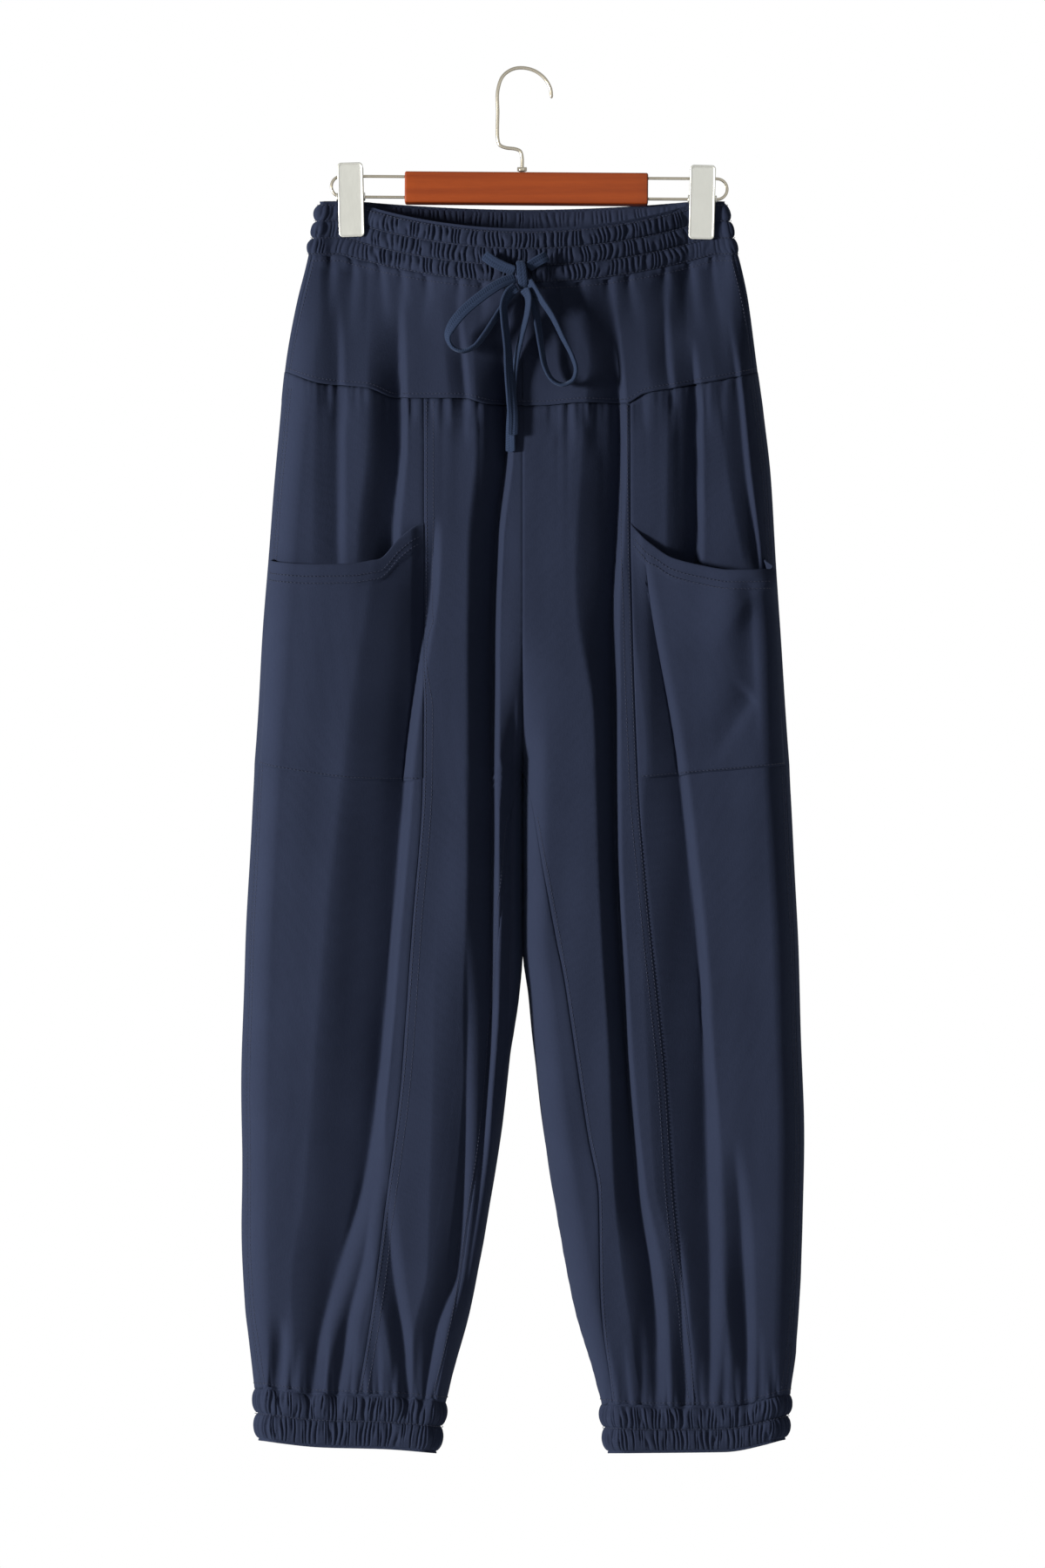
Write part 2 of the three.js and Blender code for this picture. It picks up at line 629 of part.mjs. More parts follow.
function addWaistband() {
  const around = (place) => {
    const [side, turn] = waistTurn(place);
    return pantsPoint(side, turn, BAND_TOP_DOWN);
  };
  const places = evenTurns(2 * BAND_WAVES, around, 4);
  const edgeAt = (place, share) => {
    const [side, turn] = waistTurn(place);
    const down = bandEdgeDown(side, turn, share) - share * SEAM_GAP;
    const { point, facing } = pantsVertex(side, turn, Math.min(down, BAND_TOP_DOWN + BAND_HEIGHT));
    return { point: point.setZ(-down), facing };
  };
  const geometry = casing(places, BAND_CHANNELS, BAND_PUFF, BAND_WAVE_DEPTH, bandFullness, edgeAt);
  add('waistband', geometry, COLOURS.cloth);
}

function addCuff(side) {
  const middle = cuffTop[side](0.5) + cuffHeight[side](0.5) / 2;
  const turns = evenTurns(2 * CUFF_WAVES, (turn) => pantsPoint(side, turn, middle), 2);
  if (side === RIGHT) turns.reverse();
  const edgeAt = (turn, share) => {
    const down = mix(cuffSeamDown(side, turn) + SEAM_GAP, hemDown(side, turn), share);
    return pantsVertex(side, turn, down);
  };
  const geometry = casing(turns, CUFF_CHANNELS, CUFF_PUFF, CUFF_WAVE_DEPTH, () => 1, edgeAt);
  add(`cuff_${sideName(side)}`, geometry, COLOURS.cloth);
}

// ---------- drawstring ----------

const CORD_WIDTH = 7.6;
const CORD_THICKNESS = 4.4;
const CORD_SIDES = 8;
const CORD_STEP = 9;
const KNOT = { x: -0.6, y: -38.5, down: 164.8, width: 8, depth: 9.5, height: 21.7 };

// Centre lines of the drawstring's stretches, as x, y and down.
const CORD_ROUTES = {
  drawstring_lead_left: [[-30, -37.5, 151.5], [-20, -38.2, 156], [-5.7, -38.6, 162]],
  drawstring_lead_right: [[20, -38, 149.6], [12, -38.4, 154], [4.1, -38.7, 159]],
  drawstring_loop_left: [
    [-5.4, -41.6, 167], [-19, -46, 172.5], [-33, -50, 182], [-48, -52.5, 194.8], [-57.4, -53, 207],
    [-60.2, -53, 215], [-56.5, -52, 222.8], [-48, -51, 226.2], [-38.6, -50, 222.4],
    [-30.6, -48, 213], [-24, -45, 203], [-18.4, -41, 194], [-11.5, -38.4, 184], [-5.8, -38.3, 175.6],
  ],
  drawstring_loop_right: [
    [4.3, -41.8, 169.6], [13.4, -47, 182.6], [23.8, -51, 198], [32.4, -53, 215.4],
    [39.6, -53.5, 229.4], [43, -53.5, 241], [40.2, -53, 249.6], [32.2, -52.5, 253],
    [24, -51.5, 249.2], [18.2, -49.5, 238.6], [14.8, -46, 221], [12.4, -42, 205],
    [9.6, -38.8, 190], [5.6, -38.2, 177.4],
  ],
  drawstring_tail_left: [
    [-4.2, -45, 174.8], [-10.6, -47, 178.5], [-15, -48.5, 188], [-14.6, -49.5, 200.5],
    [-12, -50, 223], [-10.8, -50, 244], [-9.2, -49.5, 262], [-7.8, -49, 279], [-8.4, -48.6, 296],
  ],
  drawstring_tail_right: [
    [1.2, -45.4, 175.6], [4.6, -46, 183], [4, -44.6, 195], [-1.2, -42.8, 215.6],
    [-5, -42.4, 233], [-7.6, -42.3, 256], [-9.4, -42.2, 282], [-10.2, -42.2, 308],
  ],
};

function curveThrough(points) {
  const path = points.map(([x, y, down]) => new THREE.Vector3(x, y, -down));
  return new THREE.CatmullRomCurve3(path, false, 'centripetal');
}

function ovalShape(width, height, sides) {
  const corners = Array.from({ length: sides }, (_, i) => {
    const angle = (2 * Math.PI * i) / sides;
    return new THREE.Vector2((Math.cos(angle) * width) / 2, (Math.sin(angle) * height) / 2);
  });
  return new THREE.Shape(corners);
}

function tubeAlong(path, shape, step) {
  const steps = Math.max(2, Math.round(path.getLength() / step));
  return new THREE.ExtrudeGeometry(shape, { extrudePath: path, steps, bevelEnabled: false });
}

function addDrawstring() {
  const section = ovalShape(CORD_THICKNESS, CORD_WIDTH, CORD_SIDES);
  for (const [name, points] of Object.entries(CORD_ROUTES)) {
    add(name, tubeAlong(curveThrough(points), section, CORD_STEP), COLOURS.cord, 0.9);
  }
  const knot = new THREE.SphereGeometry(0.5, 10, 8);
  knot.scale(KNOT.width, KNOT.depth, KNOT.height);
  add('drawstring_knot', knot, COLOURS.cord, 0.9).position.set(KNOT.x, KNOT.y, -KNOT.down);
}

// ---------- hanger ----------

const HOOK_WIRE = 2.8;
const HOOK_SIDES = 8;
const HOOK_STEP = 4.5;
const BAR = { left: -94.5, right: 100.8, topDown: 81.9, height: 25, depth: 13, corner: 3.5 };
const BAR_TILT = THREE.MathUtils.degToRad(0.4); // the right end hangs a little lower
const WIRE = 2.4;
const WIRE_UPPER_DOWN = 86.6;
const WIRE_LOWER_DOWN = 103.2;
const WIRE_END_LEFT = -153.6;
const WIRE_END_RIGHT = 164.5;
const WIRE_STEP = 4.5;
const WIRE_SIDES = 6;
const WIRE_BEND_STEPS = 6;
const NUT = { x: -0.35, down: 80, width: 7.8, height: 3.4 };
const CLIP_TOP_SPREAD = 11.2; // from the middle plane to a plate's outer face, at its top
const CLIP_JAW_SPREAD = 6.6; // the same at its jaw
const CLIP_CORNER = 3.2;
const CLIP_LEAN = THREE.MathUtils.degToRad(1.5); // each clip is turned a little by the cloth
const BARREL = { radius: 2.8, length: 15, bore: 1.65, inset: 0.8 };
const EAR = { width: 1.6, height: 6 };

// The hook, as x and down: it rises on the left, turns over the crown and ends on the right.
const HOOK_ROUTE = [
  [-0.35, 81.3], [-0.35, 70.5], [-1.8, 65.6], [-5.5, 63.8], [-14, 62.6], [-18.4, 60.4],
  [-19.9, 55.5], [-19.9, 34], [-19.9, 17], [-16, 5.6], [-8.5, -0.2], [0, -1.5], [9.5, 0.8],
  [17.6, 6.8], [22.4, 15], [23.4, 23.2],
];

function addHook() {
  const route = curveThrough(HOOK_ROUTE.map(([x, down]) => [x, 0, down]));
  const section = ovalShape(HOOK_WIRE, HOOK_WIRE, HOOK_SIDES);
  add('hanger_hook', tubeAlong(route, section, HOOK_STEP), COLOURS.steel, 0.3, 1);
  const bore = HOOK_WIRE / 2 + SEAM_GAP;
  const profile = [
    new THREE.Vector2(bore, -NUT.height / 2),
    new THREE.Vector2(NUT.width / 2, -NUT.height / 2),
    new THREE.Vector2(NUT.width / 2, NUT.height / 2),
    new THREE.Vector2(bore, NUT.height / 2),
    new THREE.Vector2(bore, -NUT.height / 2),
  ];
  const nut = new THREE.LatheGeometry(profile, 6);
  nut.rotateX(Math.PI / 2);
  add('hanger_nut', nut, COLOURS.steel, 0.3, 1).position.set(NUT.x, 0, -NUT.down);
}

function addBar() {
  const [w, h, r] = [BAR.depth / 2, BAR.height / 2, BAR.corner];
  const shape = new THREE.Shape();
  shape.moveTo(-w + r, -h);
  shape.lineTo(w - r, -h);
  shape.absarc(w - r, -h + r, r, -Math.PI / 2, 0, false);
  shape.absarc(w - r, h - r, r, 0, Math.PI / 2, false);
  shape.absarc(-w + r, h - r, r, Math.PI / 2, Math.PI, false);
  shape.absarc(-w + r, -h + r, r, Math.PI, 1.5 * Math.PI, false);
  const length = BAR.right - BAR.left;
  const bar = new THREE.ExtrudeGeometry(shape, { depth: length, bevelEnabled: false, curveSegments: 4 });
  bar.translate(0, 0, -length / 2);
  bar.rotateX(Math.PI / 2);
  bar.rotateZ(Math.PI / 2);
  const mesh = add('hanger_bar', bar, COLOURS.wood, 0.5);
  const middle = (BAR.left + BAR.right) / 2;
  mesh.position.set(middle, 0, -BAR.topDown - BAR.height / 2 - SEAM_GAP - Math.tan(BAR_TILT) * middle);
  mesh.rotation.y = BAR_TILT;
}

// A wire runs out of each end of the bar, round a bend and back in.
function addWire(side) {
  const barEnd = side === LEFT ? BAR.left - SEAM_GAP : BAR.right + SEAM_GAP;
  const wireEnd = side === LEFT ? WIRE_END_LEFT : WIRE_END_RIGHT;
  const radius = (WIRE_LOWER_DOWN - WIRE_UPPER_DOWN) / 2;
  const middle = (WIRE_LOWER_DOWN + WIRE_UPPER_DOWN) / 2;
  const centre = wireEnd - side * radius;
  const drop = (x) => Math.tan(BAR_TILT) * x;
  const bend = span(WIRE_BEND_STEPS, -Math.PI / 2, Math.PI / 2).map((angle) =>
    [centre + side * radius * Math.cos(angle), middle + radius * Math.sin(angle)]);
  const straight = (down) => [0, 0.5, 0.9].map((share) => [mix(barEnd, centre, share), down]);
  const route = [...straight(WIRE_UPPER_DOWN), ...bend, ...straight(WIRE_LOWER_DOWN).reverse()];
  const path = curveThrough(route.map(([x, down]) => [x, 0, down + drop(x)]));
  const section = ovalShape(WIRE, WIRE, WIRE_SIDES);
  add(`hanger_wire_${sideName(side)}`, tubeAlong(path, section, WIRE_STEP), COLOURS.steel, 0.3, 1);
}

function toManifold(geometry) {
  const position = geometry.getAttribute('position');
  const keys = new Map();
  const vertices = [];
  const merged = [];
  for (let i = 0; i < position.count; i += 1) {
    const corner = [position.getX(i), position.getY(i), position.getZ(i)];
    const key = corner.map((value) => value.toFixed(5)).join(' ');
    if (!keys.has(key)) {
      keys.set(key, vertices.length / 3);
      vertices.push(...corner);
    }
    merged.push(keys.get(key));
  }
  const order = geometry.index ? Array.from(geometry.index.array) : merged.map((_, i) => i);
  const triVerts = new Uint32Array(order.map((i) => merged[i]));
  return new wasm.Manifold(new wasm.Mesh({
    numProp: 3, vertProperties: new Float32Array(vertices), triVerts,
  }));
}

function fromManifold(solid) {
  const mesh = solid.getMesh();
  const geometry = new THREE.BufferGeometry();
  geometry.setAttribute('position', new THREE.Float32BufferAttribute(mesh.vertProperties, 3));
  geometry.setIndex(Array.from(mesh.triVerts));
  geometry.computeVertexNormals();
  return geometry;
}

// One plate of a clip with two ears that reach inwards to the spring's barrel. It is made upright,
// centred on X, its outer face towards -Y and its height measured from the plate's middle.
function clipPlate(lean) {
  const [w, h, r] = [CLIP_WIDTH / 2, CLIP_HEIGHT / 2, CLIP_CORNER];
  const shape = new THREE.Shape();
  shape.moveTo(-w + r, -h);
  shape.lineTo(w - r, -h);
  shape.absarc(w - r, -h + r, r, -Math.PI / 2, 0, false);
  shape.absarc(w - r, h - r, r, 0, Math.PI / 2, false);
  shape.absarc(-w + r, h - r, r, Math.PI / 2, Math.PI, false);
  shape.absarc(-w + r, -h + r, r, Math.PI, 1.5 * Math.PI, false);
  const plate = new THREE.ExtrudeGeometry(shape, {
    depth: CLIP_PLATE, bevelEnabled: false, curveSegments: 4,
  });
  plate.rotateX(Math.PI / 2);
  plate.translate(0, CLIP_PLATE, 0);
  plate.rotateX(lean);
  let solid = toManifold(plate);
  const pivot = CLIP_HEIGHT / 2 - (WIRE_LOWER_DOWN - CLIP_TOP_DOWN);
  const root = CLIP_PLATE / 2 - Math.tan(lean) * pivot;
  const tip = (CLIP_TOP_SPREAD + CLIP_JAW_SPREAD) / 2 - BARREL.radius - SEAM_GAP;
  for (const x of [-w + EAR.width, w - EAR.width]) {
    const ear = new THREE.BoxGeometry(EAR.width, tip - root, EAR.height);
    ear.translate(x, (root + tip) / 2, pivot);
    solid = solid.add(toManifold(ear));
  }
  return fromManifold(solid);
}

function addClip(side) {
  const x = side === LEFT ? CLIP_LEFT_X : CLIP_RIGHT_X;
  const tilt = Math.tan(BAR_TILT) * x;
  const name = sideName(side);
  const clip = new THREE.Group();
  clip.position.set(x, 0, -CLIP_TOP_DOWN - CLIP_HEIGHT / 2 - tilt);
  clip.rotation.y = side * CLIP_LEAN;
  const lean = Math.atan((CLIP_TOP_SPREAD - CLIP_JAW_SPREAD) / CLIP_HEIGHT);
  const outerFace = (CLIP_TOP_SPREAD + CLIP_JAW_SPREAD) / 2;
  for (const [face, turn] of [['front', 0], ['back', Math.PI]]) {
    const plate = add(`clip_${name}_${face}`, clipPlate(lean), COLOURS.plate, 0.35, 1);
    const turned = new THREE.Group();
    turned.rotation.z = turn;
    plate.position.set(0, -outerFace, 0);
    turned.add(plate);
    clip.add(turned);
  }
  const profile = [
    new THREE.Vector2(BARREL.bore, -BARREL.length / 2),
    new THREE.Vector2(BARREL.radius, -BARREL.length / 2),
    new THREE.Vector2(BARREL.radius, BARREL.length / 2),
    new THREE.Vector2(BARREL.bore, BARREL.length / 2),
    new THREE.Vector2(BARREL.bore, -BARREL.length / 2),
  ];
  const barrel = new THREE.LatheGeometry(profile, 12);
  barrel.rotateZ(Math.PI / 2);
  const spring = add(`clip_${name}_spring`, barrel, COLOURS.steel, 0.4, 1);
  spring.position.set(x - side * BARREL.inset, 0, -WIRE_LOWER_DOWN - tilt);
  pants.add(clip);
}

// ---------- assembly ----------

addWaistband();
addYokes();
for (const side of [LEFT, RIGHT]) {
  addLeg(side);
  addCuff(side);
}
addDrawstring();
addBar();
addHook();
for (const side of [LEFT, RIGHT]) {
  addWire(side);
  addClip(side);
}

export default pants;
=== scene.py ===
"""Wide-leg drawstring pants that hang flat from a wooden clip hanger.

Shapes are worked out in millimetres with +Z up. The front faces -Y, +X is to the right of someone who
looks at the front, and the origin is the inside of the hook's crown. "down" is the distance below it.
"""

import math

import bpy
import numpy as np
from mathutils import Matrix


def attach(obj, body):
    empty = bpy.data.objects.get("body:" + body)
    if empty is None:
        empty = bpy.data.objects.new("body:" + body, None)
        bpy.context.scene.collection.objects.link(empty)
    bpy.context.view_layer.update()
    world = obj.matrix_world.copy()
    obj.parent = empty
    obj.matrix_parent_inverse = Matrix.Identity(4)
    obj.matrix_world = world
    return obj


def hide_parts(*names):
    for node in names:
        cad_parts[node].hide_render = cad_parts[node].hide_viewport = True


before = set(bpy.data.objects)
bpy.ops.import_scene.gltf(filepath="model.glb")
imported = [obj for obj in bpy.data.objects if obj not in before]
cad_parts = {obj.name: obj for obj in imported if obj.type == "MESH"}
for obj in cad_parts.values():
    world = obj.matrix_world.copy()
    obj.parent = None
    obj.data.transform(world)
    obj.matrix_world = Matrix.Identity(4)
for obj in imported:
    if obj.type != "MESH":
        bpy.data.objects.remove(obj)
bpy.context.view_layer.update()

MM = 0.001

# ---------- camera ----------

# In metres: what the view's long side spans at the pants, its middle's height, and how far off it is.
VIEW_HEIGHT = 1.26
VIEW_CENTRE = -0.574
CAMERA_DISTANCE = 2.4
SENSOR = 36


def add_camera():
    """Looks along +Y. The view's long side spans VIEW_HEIGHT at the middle plane."""
    data = bpy.data.cameras.new("camera")
    data.sensor_width = SENSOR
    data.lens = SENSOR * CAMERA_DISTANCE / VIEW_HEIGHT
    camera = bpy.data.objects.new("camera", data)
    camera.location = (0, -CAMERA_DISTANCE, VIEW_CENTRE)
    camera.rotation_euler = (math.radians(90), 0, 0)
    bpy.context.collection.objects.link(camera)
    bpy.context.scene.camera = camera


add_camera()

# ---------- small helpers ----------


def mix(a, b, share):
    """The value that lies `share` of the way from a to b."""
    return a + (b - a) * share


def smooth(t):
    """0 before 0, 1 after 1, and an S-curve between: 3t^2 - 2t^3."""
    c = np.clip(t, 0, 1)
    return c * c * (3 - 2 * c)


def bell(distance, width):
    """A bump of height 1 that falls to 1/e at `width`: exp(-(distance / width)^2)."""
    return np.exp(-((distance / width) ** 2))


def shoulder(distance, width):
    """A quarter-round shoulder: sqrt(1 - t^2), where t falls from 1 at the edge to 0 at `width`."""
    t = 1 - np.clip(distance / width, 0, 1)
    return np.sqrt(1 - t * t)


def curve(at, value):
    """A curve through points that never swings past them: a cubic between each two, whose slope at a
    point is the harmonic mean of the slopes beside it, or 0 where those turn."""
    at, value = np.array(at, float), np.array(value, float)
    gap = np.diff(at)
    rise = np.diff(value) / gap
    product, total = rise[:-1] * rise[1:], rise[:-1] + rise[1:]
    turning = product <= 0
    inner = np.where(turning, 0, 2 * product / np.where(turning, 1, total))
    slope = np.concatenate((rise[:1], inner, rise[-1:]))

    def through(where):
        i = np.clip(np.searchsorted(at, where, side="left") - 1, 0, len(gap) - 1)
        t = np.clip((where - at[i]) / gap[i], 0, 1)
        start = (2 * t**3 - 3 * t**2 + 1) * value[i] + (t**3 - 2 * t**2 + t) * gap[i] * slope[i]
        end = (3 * t**2 - 2 * t**3) * value[i + 1] + (t**3 - t**2) * gap[i] * slope[i + 1]
        return start + end

    return through


def both_sides(rows):
    """One function of side and place from rows of place, left value and right value."""
    at, left, right = np.array(rows, float).T
    on_left, on_right = curve(at, left), curve(at, right)
    return lambda side, where: np.where(side < 0, on_left(where), on_right(where))


# ---------- dimensions that the solids share ----------

LEFT, RIGHT = -1, 1
# Thickness of a wall of cloth and of the casings over the elastic, and the gap at a seam.
CLOTH = 1.6
CASING = 3.0
SEAM_GAP = 0.3
CLIP_LEFT_X, CLIP_RIGHT_X = -138.0, 144.5
CLIP_WIDTH, CLIP_HEIGHT = 20.5, 60.0
CLIP_TOP_DOWN = 75.5
CLIP_PLATE = 1.6
BAND_TOP_DOWN = 106.5
BAND_HEIGHT = 43.0
BAND_FRONT_SAG, BAND_BACK_SAG = 22.0, 2.5
# The waist's depth each way in a clip and half the width that a clip holds, then its depth halfway
# between the clips, front and back, and outside them.
PINCH, PINCHED = 3.6, 13.0
BULGE_FRONT, BULGE_BACK, TAB_BULGE = 28.0, 25.0, 7.0
# Where the legs part, and how far above it the cloth starts to close between them.
CROTCH_DOWN, CROTCH_RISE = 550.0, 120.0
SIDE_SEAM_INSET = 4.0
YOKE_BLEND = 115.0
BACK_YOKE_DIP = 14.0
YOKE_SEAM_NEAR = 256.0
# How far a pocket stands off the leg, how much more its mouth gapes, and where it gapes most.
POCKET_STANDOFF = CLOTH + 0.5
POCKET_BULGE = {LEFT: 10.0, RIGHT: 13.0}
POCKET_GAPE_AT = {LEFT: 0.4, RIGHT: 0.34}
# How much columns crowd towards a leg's edges, and steps of turn: a small one, and the front's end.
CROWDING = 0.72
PROBE = 0.01
FRONT_END = 1 - 1e-7

# Distances from X = 0, left and right, by how far down.
outer_edge = both_sides([
    (104, 163.5, 163.5), (150, 173, 173.5), (189, 182, 182), (259, 193, 192), (329, 199.5, 199.5),
    (434, 207, 206.5), (574, 216.3, 215.6), (714, 223.3, 222), (854, 226.1, 226.1),
    (924, 226.1, 225.4), (994, 223.3, 222.6), (1029, 219.2, 220.2), (1064, 215.6, 215.6),
    (1112, 213.3, 212),
])
inner_edge = both_sides([
    (500, -0.5, -0.5), (550, -0.9, -0.9), (700, -0.9, -0.7), (749, 2.8, 4.9), (784, 8.4, 8.4),
    (854, 16.8, 16.8), (924, 28, 28), (994, 41.3, 41.3), (1064, 59.5, 60.9), (1112, 68, 67.3),
])
princess_seam = both_sides([
    (243, 79, 86), (364, 79, 86.8), (567, 80, 93), (687, 88.6, 103), (811, 97.3, 115.5),
    (906, 109.2, 122), (1000, 121.5, 132.5), (1075, 134, 140),
])
inseam = both_sides([
    (550, -0.9, -0.9), (585, 9, 8), (634, 14.7, 16.5), (733, 22.8, 34.3), (853, 33.6, 52.5),
    (902, 40, 61), (981, 51, 62.5), (1075, 72, 72),
])
# How far down, from the outer edge (0) to the inner (1), and the cuff's height.
cuff_top = both_sides([
    (0, 1057.7, 1062.3), (0.35, 1063.6, 1073.6), (0.7, 1065.2, 1074), (1, 1069.3, 1071),
])
cuff_height = both_sides([(0, 43.4, 38.2), (0.35, 43.2, 37), (0.7, 43, 37.2), (1, 42.4, 40.6)])
# How far down, from the side seam (0) to the princess seam (1).
pocket_mouth = both_sides([
    (0, 393, 391.7), (0.1, 395.5, 402), (0.36, 397.5, 402), (0.6, 397, 397.4), (0.75, 393, 392),
    (0.86, 376, 382.5), (0.94, 367, 373.5), (1, 364, 364),
])
pocket_bottom = both_sides([(0, 557.9, 558.6), (0.35, 565, 562), (0.7, 571, 566), (1, 572, 570.5)])
front_yoke_seam = curve(
    [-192, -160, -125, -100, -50, -22, 14, 50, 82, 98, 134, 192],
    [243, 252, 255, 263.5, 263.5, 269, 269.5, 267, 268, 260, 253.5, 243],
)
# The depth of the hanging cloth in front of the middle plane and behind it, and how far in from an
# edge it is rounded.
SECTION_DOWN = [150, 266, 420, 560, 714, 900, 994, 1064, 1112]
half_front = curve(SECTION_DOWN, [33, 39, 43, 45, 43, 40, 35, 26, 23])
half_back = curve(SECTION_DOWN, [33, 38, 42, 46, 43, 40, 35, 26, 23])
rounding_front = curve(SECTION_DOWN, [24, 23, 22, 22, 22, 22, 21, 18, 16])
rounding_back = curve(SECTION_DOWN, [36, 42, 44, 44, 42, 40, 36, 28, 26])

# Troughs that run down the front, as rows of down, x, width of the left flank, width of the right
# flank and depth. A fold's sharp edge is at its x.
FRONT_FOLDS = [
    [(360, -70, 40, 12, 0), (420, -74, 50, 13, 14), (476, -83, 50, 13, 16), (546, -92, 50, 13, 18),
     (616, -98, 52, 13, 18), (686, -104, 54, 13, 18), (756, -110, 54, 13, 18), (826, -117, 52, 14, 17),
     (896, -128, 46, 34, 14), (966, -149, 36, 40, 11), (1030, -165, 18, 26, 7), (1070, -170, 10, 16, 4)],
    [(175, -18, 14, 10, 0), (224, -15, 24, 11, 12), (300, -12.5, 24, 10, 17), (378, -21, 22, 10, 17),
     (476, -24, 20, 10, 17), (616, -24, 20, 10, 16), (756, -25, 22, 12, 15), (826, -29, 18, 10, 13),
     (896, -35, 18, 18, 9), (966, -44, 16, 20, 6), (1010, -50, 10, 14, 0)],
    [(500, -6, 10, 9, 0), (600, -9, 13, 14, 7), (760, -12, 13, 14, 7), (850, -24, 14, 10, 0)],
    [(680, -46, 20, 20, 0), (756, -45, 26, 24, 4), (896, -48, 26, 24, 9), (966, -54, 22, 24, 10),
     (1015, -70, 17, 24, 9), (1068, -79, 10, 18, 5)],
    [(165, 68, 14, 8, 0), (224, 75, 20, 9, 9), (300, 79, 30, 10, 15), (378, 76, 32, 10, 17),
     (440, 73, 28, 9, 17), (520, 74, 16, 8, 16), (616, 75, 14, 7, 16), (756, 82, 14, 7, 15),
     (896, 92, 18, 14, 13), (966, 103, 22, 22, 12), (1030, 108, 18, 22, 8), (1072, 108, 10, 16, 4)],
    [(160, 113, 12, 8, 0), (190, 114, 15, 8, 6), (235, 116, 15, 9, 5), (275, 122, 14, 10, 0)],
    [(385, 98, 16, 10, 0), (450, 108, 18, 10, 8), (546, 124, 24, 12, 9), (616, 132, 36, 14, 11),
     (756, 145, 46, 13, 15), (896, 149, 42, 26, 14), (966, 151, 24, 28, 9), (1035, 151, 14, 20, 6),
     (1072, 150, 10, 16, 3)],
    [(160, -54, 8, 6, 0), (185, -53, 11, 7, 4), (235, -48, 13, 8, 5), (285, -44, 12, 8, 0)],
    [(880, -118, 12, 18, 0), (950, -127, 18, 24, 6), (1005, -140, 14, 22, 7), (1066, -149, 9, 16, 5)],
    [(880, -112, 10, 16, 0), (966, -104, 14, 20, 5), (1015, -97, 12, 18, 7), (1068, -92, 9, 14, 5)],
    [(1000, -196, 10, 14, 0), (1030, -194, 10, 16, 3), (1066, -197, 8, 14, 4)],
    [(860, 170, 12, 16, 0), (930, 176, 18, 20, 6), (1000, 179, 14, 18, 8), (1066, 181, 10, 14, 5)],
    [(930, 125, 10, 12, 0), (1000, 128, 10, 14, 4), (1072, 130, 8, 12, 5)],
]
# Troughs that the pockets cover where they end, and lie flat over.
COVERED_FOLDS = [
    [(150, -100, 20, 10, 0), (215, -99, 24, 10, 11), (300, -98, 26, 10, 13), (378, -104, 28, 11, 12),
     (412, -103, 30, 16, 8), (450, -98, 40, 20, 0)],
    [(215, 136, 12, 8, 0), (280, 140, 22, 8, 11), (378, 140.5, 24, 9, 13),
     (410, 138, 24, 10, 9), (440, 134, 24, 12, 0)],
    [(190, 163, 16, 12, 0), (250, 172, 16, 10, 4), (322, 179, 14, 9, 5), (378, 187, 12, 8, 5),
     (410, 191, 8, 6, 0)],
    [(165, -151, 14, 9, 0), (230, -148, 18, 11, 3.5), (378, -148, 20, 12, 4), (425, -146, 20, 12, 0)],
]
# How far down the rows of the troughs at the back are.
STEADY_DOWN = [224, 400, 574, 749, 900, 1050]


def steady_fold(xs, left, right, depth, start, end):
    """Rows of a trough that keeps its widths and depth between its ends, where it runs out."""
    middle = [(d, x, left, right, depth) for d, x in zip(STEADY_DOWN, xs) if start + 60 < d < end - 40]
    return [(start, xs[0], left, right, 0), *middle, (end, xs[-1], left, right, 0)]


BACK_FOLDS = [
    steady_fold((-132, -136, -142, -150, -160, -172), 24, 40, 12, 150, 1110),
    steady_fold((-70, -74, -82, -92, -104, -118), 22, 36, 15, 150, 1110),
    steady_fold((-18, -20, -26, -40, -58, -84), 18, 24, 9, 260, 1100),
    steady_fold((34, 30, 32, 46, 62, 90), 26, 28, 12, 150, 1110),
    steady_fold((92, 88, 92, 104, 116, 128), 24, 34, 15, 150, 1110),
    steady_fold((144, 146, 150, 158, 166, 174), 20, 30, 10, 150, 1100),
]


def fold_path(rows):
    """A trough as four functions of how far down: x, the widths of its two flanks, and its depth."""
    down, *columns = np.array(rows, float).T
    return [curve(down, column) for column in columns]


POCKET_PATHS = [fold_path(rows) for rows in FRONT_FOLDS]
FRONT_PATHS = POCKET_PATHS + [fold_path(rows) for rows in COVERED_FOLDS]
BACK_PATHS = [fold_path(rows) for rows in BACK_FOLDS]

# ---------- the form of the hanging pants ----------

# The share of its width that a trough's right flank keeps, the factor on all depths, and where the
# troughs end above the hem and over how much they fade.
STEEP, DEEPER = 0.48, 1.2
FOLDS_END, FOLDS_FADE = 1095.0, 35.0


def fold_depth(paths, x, down):
    """Sum over the troughs of depth * (1 - r)^1.25 on the left flank and depth * (1 - r)^2 on the
    steeper right one, where r is the distance from the trough's line, rounded off over its last
    millimetre, over the flank's width."""
    depth = np.zeros(np.broadcast(x, down).shape)
    for at, left, right, deep in paths:
        offset = x - at(down)
        width = np.where(offset < 0, left(down), STEEP * right(down))
        within = np.clip(1 - (np.sqrt(offset**2 + 1.0) - 1.0) / width, 0, 1)
        depth += deep(down) * np.where(offset < 0, within**1.25, within**2)
    return DEEPER * depth * smooth((FOLDS_END - down) / FOLDS_FADE)


